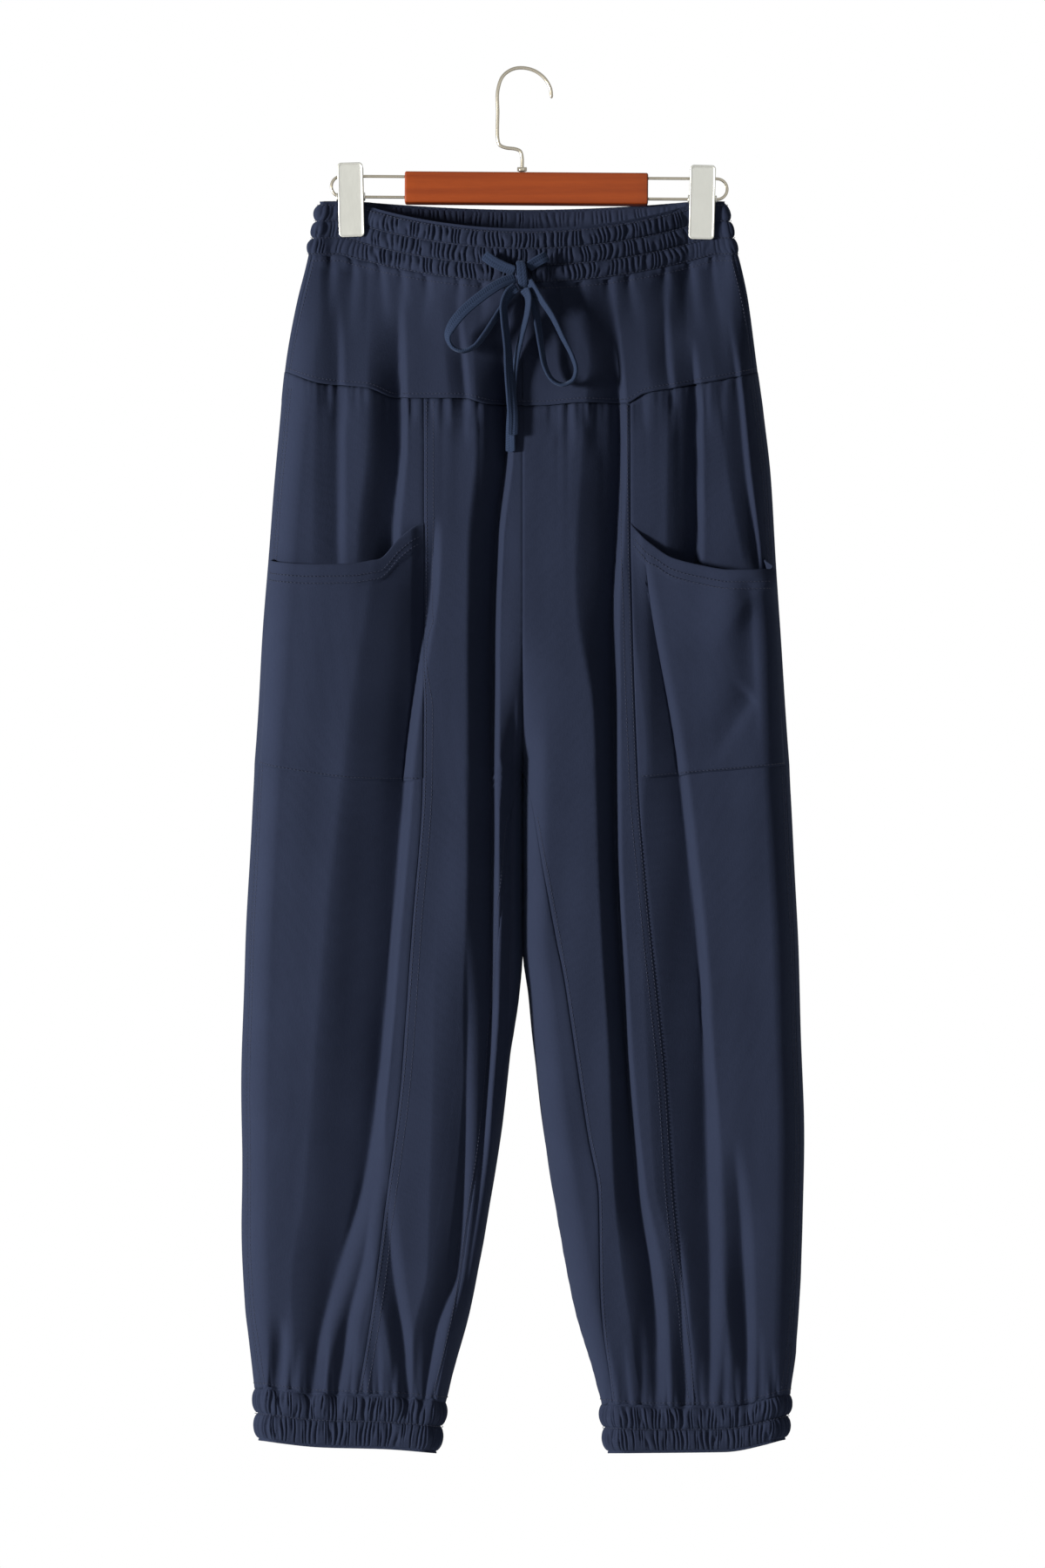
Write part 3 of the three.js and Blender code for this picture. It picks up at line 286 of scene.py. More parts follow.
def waist_depth(front, x):
    """How far the waist stands off the middle plane: pinched at the clips, bulging between them as a
    sine to the power 0.9, and opening a little outside them."""
    between = (x - CLIP_LEFT_X - PINCHED) / (CLIP_RIGHT_X - CLIP_LEFT_X - 2 * PINCHED)
    bulge = np.where(front, BULGE_FRONT, BULGE_BACK)
    middle = PINCH + (bulge - PINCH) * np.sin(np.pi * np.clip(between, 0, 1)) ** 0.9
    beyond = np.maximum(np.maximum(CLIP_LEFT_X - PINCHED - x, x - CLIP_RIGHT_X - PINCHED), 0)
    tab = PINCH + (TAB_BULGE - PINCH) * smooth(beyond / PINCHED)
    return np.where((between > 0) & (between < 1), middle, tab)


def cloth_depth(side, front, away, down, pocket=False):
    """How far the cloth's outer face is from the middle plane, at `away` from X = 0: the waist's
    depth above, and below it the hip's, less its folds, rounded into both edges. A pocket doesn't
    follow the folds that it covers."""
    from_outer = outer_edge(side, down) - away
    from_inner = away - inner_edge(side, down)
    closed = np.clip((down - CROTCH_DOWN + CROTCH_RISE) / CROTCH_RISE, 0, 1)
    width = np.where(front, rounding_front(down), rounding_back(down))
    edges = shoulder(from_outer, width) * mix(shoulder(from_inner, width), 1, np.sqrt(1 - closed**2))
    x = side * away
    front_paths = POCKET_PATHS if pocket else FRONT_PATHS
    folds = np.where(front, fold_depth(front_paths, x, down), fold_depth(BACK_PATHS, x, down))
    hip = (np.where(front, half_front(down), half_back(down)) - folds) * edges
    waist = waist_depth(front, x) * shoulder(from_outer, TAB_BULGE)
    return mix(waist, hip, smooth((down - BAND_TOP_DOWN - BAND_HEIGHT) / YOKE_BLEND))


def spread(turn):
    """Crowds columns towards both edges of a leg: part way from `turn` to (1 - cos(pi * turn)) / 2."""
    return mix(turn, (1 - np.cos(np.pi * turn)) / 2, CROWDING)


TURNS = np.linspace(0, 1, 8001)


def unspread(share):
    """The turn that `spread` takes to this share, read from a table."""
    return np.interp(share, spread(TURNS), TURNS)


def is_front(turn):
    """Whether a turn is on the front."""
    return np.mod(turn, 2.0) < 1


def share_at(turn):
    """How far across the leg a turn is: 0 at the outer edge, 1 at the inner, front or back."""
    wrapped = np.mod(turn, 2.0)
    return spread(np.where(wrapped < 1, wrapped, 2 - wrapped))


def x_at(side, turn, down):
    """The X of a turn, between the outer edge and the inner by `share_at`."""
    return side * mix(outer_edge(side, down), inner_edge(side, down), share_at(turn))


def pants_point(side, turn, down, pocket=False):
    """A point of one half's outer face. `turn` goes once round the leg: 0 at the outer edge, 0 to 1
    across the front to the inner edge, 1 to 2 across the back."""
    side, turn, down = np.broadcast_arrays(side, turn, down)
    front = is_front(turn)
    x = x_at(side, turn, down)
    depth = cloth_depth(side, front, np.abs(x), down, pocket)
    return np.stack([x, np.where(front, -depth, depth), -down], -1)


def unit(vectors):
    """The vectors at length 1."""
    return vectors / np.maximum(np.linalg.norm(vectors, axis=-1, keepdims=True), 1e-9)


def facing_at(side, turn, down, pocket=False):
    """The direction that the cloth faces: the cross product of steps down it and round it. Above the
    crotch the step round doesn't cross the middle, where front and back part."""
    side, turn, down = np.broadcast_arrays(side, turn, down)
    middle = turn - np.mod(turn, 2.0) + 1
    parted = down < CROTCH_DOWN
    low = np.where(parted & (turn >= middle), np.maximum(turn - PROBE, middle), turn - PROBE)
    end = np.minimum(turn + PROBE, middle - 1 + FRONT_END)
    high = np.where(parted & (turn < middle), end, turn + PROBE)
    across = pants_point(side, high, down, pocket) - pants_point(side, low, down, pocket)
    fall = pants_point(side, turn, down + 2, pocket) - pants_point(side, turn, down - 2, pocket)
    return unit(np.cross(fall, across) * -side[..., None])


def turn_at(side, away, down):
    """The turn on the front at a distance from X = 0."""
    outer, inner = outer_edge(side, down), inner_edge(side, down)
    return unspread(np.clip((outer - away) / (outer - inner), 0, 1))


def side_seam(side, down):
    """The turn of the seam between front and back on the outside of the leg."""
    return turn_at(side, outer_edge(side, down) - SIDE_SEAM_INSET, down)


def princess(side, down):
    """The turn of the seam between the side front and the centre front."""
    return turn_at(side, princess_seam(side, down), down)


def inseam_turn(side, down):
    """The seam between front and back inside the leg, which comes to the front below the crotch."""
    below = np.minimum(FRONT_END, turn_at(side, inseam(side, down), down))
    return np.where(down <= CROTCH_DOWN, FRONT_END, below)


def back_start(side, down):
    """The turn where the back begins: the inner edge, and the inseam below the crotch."""
    return np.where(down <= CROTCH_DOWN, 1.0, inseam_turn(side, down))


def back_end(side, down):
    """The turn where the back ends: the side seam, once round."""
    return 2 + side_seam(side, down)


def sag(x):
    """How much the waist sags: 0 at the clips and beyond, 1 halfway between them."""
    middle = (CLIP_LEFT_X + CLIP_RIGHT_X) / 2
    return np.maximum(0, 1 - ((x - middle) / (CLIP_RIGHT_X - middle)) ** 2)


def band_down(side, turn, share):
    """How far down the waistband's top (share 0) or bottom (1) is, with its sag."""
    x = side * outer_edge(side, BAND_TOP_DOWN) * (1 - share_at(turn))
    droop = np.where(is_front(turn), BAND_FRONT_SAG, BAND_BACK_SAG) * sag(x)
    return BAND_TOP_DOWN + droop + share * BAND_HEIGHT


def yoke_seam_down(side, turn):
    """How far down the yoke's lower seam is. At the back it dips as a parabola, 1 - (x / edge)^2."""
    edge = outer_edge(side, YOKE_SEAM_NEAR)
    x = side * edge * (1 - share_at(turn))
    back = front_yoke_seam(side * edge) + BACK_YOKE_DIP * (1 - (x / edge) ** 2)
    return np.where(is_front(turn), front_yoke_seam(x), back)


def cuff_seam_down(side, turn):
    """How far down the seam over the cuff is."""
    return cuff_top(side, share_at(turn))


def hem_down(side, turn):
    """How far down the hem is: the cuff's height below its seam."""
    return cuff_seam_down(side, turn) + cuff_height(side, share_at(turn))


def waist_turn(place):
    """Side and turn from a place round the waist, 0 to 4: left front, right front, right back, left
    back."""
    side = np.where((place < 1) | (place >= 3), LEFT, RIGHT)
    turn = np.select(
        [place < 1, place < 2, place < 3],
        [np.minimum(place, FRONT_END), np.minimum(2 - place, FRONT_END), 4 - place],
        place - 2,
    )
    return side, turn


# ---------- gathers, creases and unevenness of the cloth ----------

LOTS = np.random.default_rng(7).random(4096)  # chances from 0 to 1, the same on each run

# Where the legs are gathered most under the front yoke: the middle and half width of each stretch.
YOKE_GATHERS = [(-146, 22), (-54, 30), (44, 26), (140, 30)]
# Where the waist seam draws the top of the front yoke in.
WAIST_TUCKS = [-155, -137, -115.5, -98, -78, -52, -33, -12, 26, 46, 69, 85, 114, 134, 152]

# Creases: from x and down, to x and down, half width and depth. Each is deepest where it starts.
YOKE_CREASES = [
    (-155, 162, -158, 205, 5, 1.6), (-137, 163, -142, 222, 6, 2.4), (-115.5, 164, -112, 215, 6, 2.6),
    (-98, 166, -98, 200, 5, 2.0), (-78, 168, -84, 220, 6, 2.0), (-52, 170, -54, 205, 5, 1.8),
    (-33, 171, -36, 215, 6, 2.2), (46, 171, 44, 215, 6, 2.2), (69, 169, 68, 210, 6, 2.4),
    (85, 168, 90, 215, 6, 1.8), (114, 165, 112, 200, 5, 2.2), (134, 163, 139, 222, 6, 2.6),
    (152, 162, 158, 215, 5, 1.8),
]
LEG_CREASES = [
    # under the yoke
    (-156, 250, -156, 285, 3, 1.5), (-143, 253, -145, 300, 3.5, 1.8), (-134, 255, -135, 280, 3, 1.3),
    (-128, 256, -127, 275, 2.5, 1.2), (-88, 265, -89, 290, 3, 1.4), (-74, 265, -72, 300, 3.5, 1.6),
    (-61, 265, -62, 295, 3, 1.5), (-48, 266, -47, 310, 4, 2.0), (-37, 268, -38, 290, 3, 1.4),
    (25, 270, 24, 300, 3, 1.3), (38, 270, 38, 320, 4, 1.8), (50, 269, 52, 295, 3, 1.4),
    (60, 269, 60, 320, 4, 1.8), (96, 262, 97, 300, 3.5, 1.6), (122, 257, 118, 300, 3.5, 1.8),
    (146, 253, 148, 300, 3.5, 1.6), (158, 251, 160, 290, 3, 1.4),
    # over the left cuff
    (-199, 1060, -190, 985, 4.5, 2.2), (-184, 1062, -180, 1015, 3.5, 1.8),
    (-162, 1064, -158, 1010, 3.5, 2.0), (-140, 1065, -134, 1000, 4, 2.2),
    (-128, 1066, -130, 1030, 3, 1.6), (-116, 1066, -119, 990, 4, 2.2), (-104, 1067, -103, 1030, 3, 1.6),
    (-86, 1068, -84, 1010, 3.5, 1.8), (-72, 1068, -62, 1000, 3.5, 1.8),
    # over the right cuff
    (72, 1073, 62, 1000, 3.5, 1.8), (85, 1073, 79, 1010, 3.5, 1.8), (98, 1074, 93, 990, 4, 2.2),
    (116, 1074, 113, 1030, 3, 1.6), (135, 1074, 133, 1000, 4, 2.2), (143, 1073, 141, 1030, 3, 1.6),
    (163, 1070, 160, 1000, 4, 2.2), (172, 1069, 170, 1035, 3, 1.6), (192, 1066, 188, 1000, 4, 2.2),
    (203, 1062, 198, 1020, 3.5, 1.8),
]


def valleys(along, pitch, width, seed):
    """Narrow troughs, uneven in spacing and depth: exp(-(d/width)^2), d being the distance from the
    nearest one's middle."""
    phase = along / pitch + 0.3 * np.sin(along / 11.3 + seed) + 0.22 * np.sin(along / 5.1 + 2 * seed)
    index = np.floor(phase)
    deep = 0.3 + 0.7 * LOTS[(index.astype(int) + 1000 + int(97 * seed)) % 4096]
    return deep * bell((phase - index - 0.5) * pitch, width)


# Swells of the cloth: how fast each turns along x and down, and where it starts.
SWELLS = [
    (0.045, 0.011, 0.3), (0.083, -0.017, 1.9), (0.021, 0.034, 4.1), (0.12, 0.026, 2.2),
    (0.06, -0.05, 5.3), (0.19, 0.012, 3.3),
]
SWELL_HEIGHT = 0.2


def unevenness(x, down):
    """Slow swells of the cloth: a sum of sines in different directions."""
    return sum(np.sin(a * x + b * down + c) for a, b, c in SWELLS) * SWELL_HEIGHT


def crease_depth(creases, x, down):
    """Sum over the creases of depth * exp(-(d/w)^2), d being the distance from the crease's line and w
    its width, half as much again on the left of it and two thirds on the right."""
    depth = np.zeros(np.broadcast(x, down).shape)
    for x0, down0, x1, down1, width, deep in creases:
        length = math.hypot(x1 - x0, down1 - down0)
        along = ((x - x0) * (x1 - x0) + (down - down0) * (down1 - down0)) / length**2
        off = (x - x0) - (x1 - x0) * np.clip(along, 0, 1)
        fade = smooth((along + 0.12) / 0.12) * smooth((1 - along) / 0.7)
        wide = width * (1 + 0.7 * np.clip(along, 0, 1)) * np.where(off < 0, 1.5, 0.67)
        depth += deep * fade * bell(off, wide)
    return depth


def leg_relief(side, turn, down):
    """How far a leg's cloth stands out of its plain form: its swells less its creases, which fade
    towards the inner edge, less the gathers' valleys, which die away as exp(-distance) below the
    yoke's seam and above the cuff's."""
    x = x_at(side, turn, down)
    front = is_front(turn)
    below = np.clip(down - yoke_seam_down(side, turn), 0, None)
    drawn = sum(bell(x - at, width) for at, width in YOKE_GATHERS)
    amount = np.where(front, 0.15 + np.clip(drawn, 0, 1), 0.8)
    gathers = 1.3 * amount * valleys(x, 6.4, 1.5, 1.0) * np.exp(-below / 11)
    deep = 1.3 * amount * valleys(x, 15.0, 3.4, 3.0) * np.exp(-below / 38)
    above = np.clip(cuff_seam_down(side, turn) - down, 0, None)
    cuffs = 1.3 * valleys(x, 6.0, 1.4, 2.0) * np.exp(-above / 10)
    creases = np.where(front, crease_depth(LEG_CREASES, x, down), 0)
    steady = smooth((np.abs(x) - inner_edge(side, down)) / 14)
    return (unevenness(x, down) - creases) * steady - gathers - deep - cuffs


def yoke_relief(side, turn, down):
    """How far the yoke's cloth stands out of its plain form: its swells less its creases, less tucks
    that widen and die away as exp(-distance) below the waist seam."""
    x = x_at(side, turn, down)
    below = np.clip(down - band_down(side, turn, 1.0), 0, None)
    tucks = sum(bell(x - at - 0.1 * below, 1.8 + 0.14 * below) for at in WAIST_TUCKS)
    tucks = 2.2 * tucks * np.exp(-below / 11)
    fine = 0.7 * valleys(x, 6.5, 1.3, 0.4) * np.exp(-below / 5)
    creases = np.where(is_front(turn), crease_depth(YOKE_CREASES, x, down), 0)
    return unevenness(x, down) - tucks - fine - creases


def with_relief(relief, side, turn, down, pocket=False):
    """Points of the cloth with its relief, and the directions that its plain form faces."""
    facing = facing_at(side, turn, down, pocket)
    rise = relief(side, turn, down)
    return pants_point(side, turn, down, pocket) + facing * rise[..., None], facing


# ---------- meshes ----------


def grid_faces(rows, columns, ring=False, loop=False, flip=False):
    """Quads between neighbouring rows and columns of a grid of vertices that is numbered row by row.
    A ring joins its last column to its first, and a loop its last row to its first."""
    row = np.arange(rows if loop else rows - 1)[:, None]
    column = np.arange(columns if ring else columns - 1)[None, :]
    below, beside = (row + 1) % rows, (column + 1) % columns
    corners = [(row, column), (below, column), (below, beside), (row, beside)]
    numbers = [at_row * columns + at_column for at_row, at_column in corners]
    faces = np.stack(np.broadcast_arrays(*numbers), -1).reshape(-1, 4)
    return faces[:, ::-1] if flip else faces


def arc_lengths(points, axis):
    """Distances along each row (axis 1) or column (axis 0) of a grid of points, from its start."""
    steps = np.linalg.norm(np.diff(points, axis=axis), axis=-1)
    return np.concatenate((np.zeros_like(steps.take([0], axis)), np.cumsum(steps, axis=axis)), axis)


def drawn_in(points):
    """The tables hold places as they appear against the middle plane, so what is in front of it moves
    towards the middle of the view, in the ratio (1 + y / camera distance)."""
    x, y, z = np.moveaxis(points, -1, 0)
    ratio = 1 + np.minimum(y, 0) * MM / CAMERA_DISTANCE
    centre = VIEW_CENTRE / MM
    return np.stack([x * ratio, y, centre + (z - centre) * ratio], -1)


def make_mesh(name, points, faces, finish, uv=None, draw_in=True):
    """A mesh object from points in millimetres and faces that all have as many corners. `uv` gives
    each vertex its place on the cloth, in metres."""
    points = drawn_in(points) if draw_in else points
    mesh = bpy.data.meshes.new(name)
    corners = faces.shape[1]
    mesh.vertices.add(len(points))
    mesh.vertices.foreach_set("co", (points * MM).astype(np.float32).ravel())
    mesh.loops.add(faces.size)
    mesh.loops.foreach_set("vertex_index", faces.astype(np.int32).ravel())
    mesh.polygons.add(len(faces))
    mesh.polygons.foreach_set("loop_start", np.arange(0, faces.size, corners, dtype=np.int32))
    mesh.update(calc_edges=True)
    if uv is not None:
        layer = mesh.uv_layers.new(name="cloth")
        layer.data.foreach_set("uv", (uv[faces.ravel()] * MM).astype(np.float32).ravel())
    mesh.validate()
    mesh.polygons.foreach_set("use_smooth", np.ones(len(mesh.polygons), bool))
    obj = bpy.data.objects.new(name, mesh)
    bpy.context.collection.objects.link(obj)
    mesh.materials.append(finish)
    return obj


def cover(obj, slot, *nodes):
    """Hangs the piece from the root body and, in place of the solids that it dresses, names it after the
    first of them and hides them.
    """
    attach(obj, "root")
    if nodes:
        obj.name = f"{nodes[0]}_skin"
        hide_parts(*nodes)
    return obj


def cloth_mesh(name, points, **closed):
    """A mesh of the grid of points, with the lengths along its rows and down its columns as its UVs."""
    uv = np.stack([arc_lengths(points, 1), -arc_lengths(points, 0)], -1).reshape(-1, 2)
    faces = grid_faces(*points.shape[:2], **closed)
    return cover(make_mesh(name, points.reshape(-1, 3), faces, CLOTH_FINISH, uv), "cloth", name)


def cloth_piece(name, points, flip):
    """A wall of cloth whose outer face is the grid of points."""
    obj = cloth_mesh(name, points, flip=flip)
    wall = obj.modifiers.new("wall", "SOLIDIFY")
    wall.thickness = CLOTH * MM
    wall.offset = -1
    wall.use_rim = True
    return obj


# ---------- materials ----------


class Value:
    """A value inside a material. Arithmetic with it adds Math nodes, or Vector Math nodes where it or
    the other value is a vector or a colour."""

    def __init__(self, finish, socket):
        self.finish, self.socket = finish, socket

    def is_vector(self):
        return self.socket.type in ("VECTOR", "RGBA")

    def join(self, operation, other, swapped=False):
        """The node of this value and another one, which comes first where `swapped`."""
        pair = (other, self) if swapped else (self, other)
        vector = any(v.is_vector() if isinstance(v, Value) else isinstance(v, tuple) for v in pair)
        kind = "ShaderNodeVectorMath" if vector else "ShaderNodeMath"
        return self.finish.node(kind, {"operation": operation}, dict(enumerate(pair)))

    def __add__(self, other):
        return self.join("ADD", other)

    def __sub__(self, other):
        return self.join("SUBTRACT", other)

    def __mul__(self, other):
        return self.join("MULTIPLY", other)

    def __radd__(self, other):
        return self.join("ADD", other, True)

    def __rsub__(self, other):
        return self.join("SUBTRACT", other, True)

    def __rmul__(self, other):
        return self.join("MULTIPLY", other, True)

    def blend(self, low, high):
        """The colour `low` where this value is 0 and `high` where it is 1."""
        return self.finish.node("ShaderNodeMix", {"data_type": "RGBA"}, {0: self, 6: low, 7: high}, 2)


class Finish:
    """A material that ends in one Principled BSDF. `constants` are set on its sockets directly."""

    def __init__(self, name, **constants):
        self.material = bpy.data.materials.new(name)
        self.material.use_nodes = True
        self.tree = self.material.node_tree
        self.tree.nodes.clear()
        self.shader = self.tree.nodes.new("ShaderNodeBsdfPrincipled")
        output = self.tree.nodes.new("ShaderNodeOutputMaterial")
        self.tree.links.new(self.shader.outputs[0], output.inputs[0])
        for key, value in constants.items():
            self.shader.inputs[key.replace("_", " ")].default_value = value

    def feed(self, target, value):
        """Links a value to a socket, or sets the socket to a number, a vector or a colour."""
        if isinstance(value, Value):
            self.tree.links.new(value.socket, target)
        elif isinstance(value, tuple) and len(target.default_value) == 4:
            target.default_value = (*value, 1)[:4]
        else:
            try:
                target.default_value = value
            except TypeError:
                target.default_value = (value,) * 3

    def node(self, kind, settings, inputs, output=0):
        """Adds a node and gives one of its outputs."""
        made = self.tree.nodes.new(kind)
        for key, value in settings.items():
            setattr(made, key, value)
        for key, value in inputs.items():
            self.feed(made.inputs[key], value)
        return Value(self, made.outputs[output])

    def set(self, **values):
        """Feeds sockets of the Principled BSDF."""
        for key, value in values.items():
            self.feed(self.shader.inputs[key.replace("_", " ")], value)

    def object_place(self):
        return self.node("ShaderNodeTexCoord", {}, {}, "Object")

    def cloth_place(self):
        return self.node("ShaderNodeUVMap", {"uv_map": "cloth"}, {})

    def stretched(self, place, scale):
        return self.node("ShaderNodeMapping", {}, {"Vector": place, "Scale": scale})

    def noise(self, place, scale, detail=3.0, roughness=0.55):
        inputs = {"Vector": place, "Scale": scale, "Detail": detail, "Roughness": roughness}
        return self.node("ShaderNodeTexNoise", {}, inputs)

    def waves(self, place, scale, direction, distortion=0.0):
        settings = {"wave_type": "BANDS", "bands_direction": direction, "wave_profile": "SIN"}
        inputs = {"Vector": place, "Scale": scale, "Distortion": distortion}
        return self.node("ShaderNodeTexWave", settings, inputs, "Fac")

    def bump(self, height, strength, distance):
        inputs = {"Strength": strength, "Distance": distance, "Height": height}
        self.set(Normal=self.node("ShaderNodeBump", {}, inputs))


def knit_finish():
    """Navy fleece: heathered colour that varies slowly, fine ribs of knit, and a soft fuzz."""
    made = Finish("navy_fleece", Roughness=0.95, Sheen_Weight=0.05, Sheen_Roughness=0.6,
                  Sheen_Tint=(0.35, 0.5, 0.9, 1), Specular_IOR_Level=0.05)
    place, on_cloth = made.object_place(), made.cloth_place()
    slow = made.noise(place, 22, 4)
    heather = made.noise(made.stretched(place, (1, 1, 0.45)), 900, 2, 0.7)
    shade = 0.86 + 0.2 * slow + 0.22 * (heather - 0.5)
    made.set(Base_Color=made.node("ShaderNodeVectorMath", {"operation": "SCALE"},
                                  {0: (0.0200, 0.0258, 0.0490), "Scale": shade}))
    ribs = made.waves(on_cloth, 420, "X", 0.4)
    courses = made.waves(on_cloth, 520, "Y", 0.6)
    made.bump(ribs * 0.6 + courses * 0.4 + heather * 1.2 + slow * 0.8, 0.35, 0.0006)
    return made.material


def thread_finish():
    """Navy sewing thread, twisted: diagonal bands of lighter and darker thread."""
    made = Finish("navy_thread", Roughness=0.6, Specular_IOR_Level=0.3)
    place = made.object_place()
    tone = made.waves(place, 700, "DIAGONAL") * 0.6 + made.noise(place, 300) * 0.4
    made.set(Base_Color=tone.blend((0.012, 0.016, 0.034), (0.03, 0.038, 0.07)))
    return made.material


def cord_finish():
    """Flat braided cord, a little bluer than the cloth: small chevrons of yarn."""
    made = Finish("navy_cord", Roughness=0.85, Sheen_Weight=0.1, Sheen_Roughness=0.5,
                  Sheen_Tint=(0.4, 0.52, 0.8, 1), Specular_IOR_Level=0.12)
    place, along = made.object_place(), made.cloth_place()
    yarn = made.waves(along, 330, "DIAGONAL", 0.8)
    tone = made.noise(place, 500, 3, 0.7)
    made.set(Base_Color=(yarn * 0.5 + tone * 0.5).blend((0.009, 0.0165, 0.036), (0.024, 0.038, 0.078)))
    made.bump(yarn + tone * 0.6, 0.4, 0.0004)
    return made.material


def wood_finish():
    """Stained and varnished wood: streaks of grain along X, stretched noise, under a clear coat."""
    made = Finish("orange_brown_wood", Roughness=0.42, Coat_Weight=0.12, Coat_Roughness=0.22,
                  Specular_IOR_Level=0.2)
    place = made.stretched(made.object_place(), (0.05, 1, 1))
    streaks = made.noise(place, 260, 6, 0.62)
    bands = made.waves(place, 22, "Z", 5.0)
    pores = made.noise(made.stretched(made.object_place(), (0.12, 1, 1)), 900, 2, 0.6)
    grain = streaks * 0.6 + bands * 0.2 + pores * 0.2
    colour = grain.blend((0.155, 0.021, 0.003), (0.345, 0.064, 0.009))
    made.set(Base_Color=colour, Roughness=0.36 + 0.14 * pores)
    made.bump(pores + streaks, 0.12, 0.0003)
    return made.material


def metal_finish(name, colour, dark, roughness):
    """Nickel plate: colour and shine that vary a little, with fine brushing."""
    made = Finish(name, Metallic=1.0)
    place = made.object_place()
    cloud = made.noise(place, 60, 4)
    brushing = made.noise(made.stretched(place, (1, 1, 0.04)), 1800, 2)
    tone = cloud * 0.6 + brushing * 0.4
    made.set(Base_Color=tone.blend(dark, colour), Roughness=roughness - 0.06 + 0.14 * brushing)
    made.bump(brushing, 0.05, 0.0001)
    return made.material


CLOTH_FINISH = knit_finish()
THREAD_FINISH = thread_finish()
CORD_FINISH = cord_finish()
WOOD_FINISH = wood_finish()
STEEL_FINISH = metal_finish("steel_wire", (0.62, 0.57, 0.46), (0.42, 0.38, 0.3), 0.28)
PLATE_FINISH = metal_finish("satin_nickel", (0.7, 0.7, 0.64), (0.58, 0.58, 0.53), 0.42)

# ---------- drawstring ----------

CORD_WIDTH = 8.8
CORD_THICKNESS = 2.5
CORD_SIDES = 30
CORD_STEP = 0.9
# A cord's section is a superellipse to this power, with this many ridges along each face, this high.
CORD_POWER, CORD_RIDGES, CORD_RIDGE = 2.6, 5, 0.8
BRAID_STEP = 0.6  # how far apart on the braid the points of a ring are taken to be

# Centre lines as x, y and down, with the cord's turn about its line in degrees: 0 lies flat.
CORD_ROUTES = {
    "drawstring_lead_left": [
        (-31, -35.0, 148.5, 0), (-25, -37.6, 153.2, 0), (-16, -38.4, 158, -10), (-5.7, -38.6, 162, -25),
    ],
    "drawstring_lead_right": [
        (20.4, -35.4, 149.4, 0), (16, -37.8, 151.8, 5), (11, -38.4, 154.6, 15), (4.1, -38.7, 159, 25),
    ],
    "drawstring_loop_left": [
        (-5.4, -41.6, 167, 10), (-19, -45.2, 172.5, 0), (-33, -47.6, 182, -4), (-48, -49.1, 194.8, -8),
        (-57.4, -49.4, 207, -30), (-60.2, -49.4, 215, -66), (-56.5, -48.8, 222.8, -84),
        (-48, -48.2, 226.2, -82), (-38.6, -47.6, 222.4, -72), (-30.6, -46.4, 213, -66),
        (-24, -44.6, 203, -66), (-18.4, -41.0, 194, -66), (-11.5, -38.4, 184, -60),
        (-5.8, -38.3, 175.6, -40),
    ],
    "drawstring_loop_right": [
        (4.3, -41.8, 169.6, -30), (13.4, -45.8, 182.6, -58), (23.8, -48.2, 198, -68),
        (32.4, -49.4, 215.4, -74), (39.6, -49.7, 229.4, -78), (43, -49.7, 241, -82),
        (40.2, -49.4, 249.6, -84), (32.2, -49.1, 253, -84), (24, -48.5, 249.2, -78),
        (18.2, -47.3, 238.6, -70), (14.8, -45.2, 221, -62), (12.4, -42.0, 205, -54),
        (9.6, -38.8, 190, -50), (5.6, -38.2, 177.4, -30),
    ],
    "drawstring_tail_left": [
        (-4.2, -44.6, 174.8, 0), (-10.6, -45.8, 178.5, 35), (-15, -46.7, 188, 50),
        (-14.6, -47.3, 200.5, 50), (-12, -47.6, 223, 44), (-10.8, -47.6, 244, 34),
        (-9.2, -47.3, 262, 24), (-7.8, -47.0, 279, 14), (-8.0, -46.8, 294, 6),
    ],
    "drawstring_tail_right": [
        (1.2, -44.8, 175.6, -20), (4.6, -45.2, 183, -55), (4, -44.4, 195, -66), (-1.2, -42.8, 215.6, -68),
        (-5, -42.4, 233, -66), (-7.6, -42.3, 256, -60), (-9.4, -42.2, 282, -40), (-9.6, -42.2, 307.5, -24),
    ],
}
KNOT = {"x": -0.6, "y": -38.5, "down": 164.8}
# The knot's turn of cord: half the ring's height and depth, how far it stands forward, its lean, how
# far its front is to the right, and the cord's own section there.
KNOT_HEIGHT, KNOT_DEPTH, KNOT_FORWARD = 10.2, 4.6, 0.9
KNOT_LEAN, KNOT_ASIDE = 0.1, 0.42
KNOT_WIDTH, KNOT_NARROWING, KNOT_THICKNESS, KNOT_RIDGE = 8.2, 1.4, 3.2, 0.5


def path_through(rows, step):
    """Points every `step` or so on a centripetal Catmull-Rom curve through the rows. The first three
    columns are the place; any others are carried along."""
    rows = np.array(rows, float)
    padded = np.vstack((2 * rows[0] - rows[1], rows, 2 * rows[-1] - rows[-2]))
    reach = np.sqrt(np.linalg.norm(np.diff(padded[:, :3], axis=0), axis=1))[:, None]
    before, here, after = padded[:-2], padded[1:-1], padded[2:]
    gap_in, gap_out = reach[:-1], reach[1:]
    slope = (here - before) / gap_in - (after - before) / (gap_in + gap_out) + (after - here) / gap_out
    span = reach[1:-1]
    length = np.linalg.norm(np.diff(rows[:, :3], axis=0), axis=1)
    found = []
    for i in range(len(rows) - 1):
        t = np.linspace(0, 1, max(2, round(length[i] / step)), endpoint=False)[:, None]
        found.append(
            (2 * t**3 - 3 * t**2 + 1) * rows[i] + (t**3 - 2 * t**2 + t) * slope[i] * span[i]
            + (3 * t**2 - 2 * t**3) * rows[i + 1] + (t**3 - t**2) * slope[i + 1] * span[i]
        )
    return np.vstack([*found, rows[-1:]])


def down_to_z(points):
    """Points of x, y and down as points of x, y and z."""
    return points * np.array([1, 1, -1])


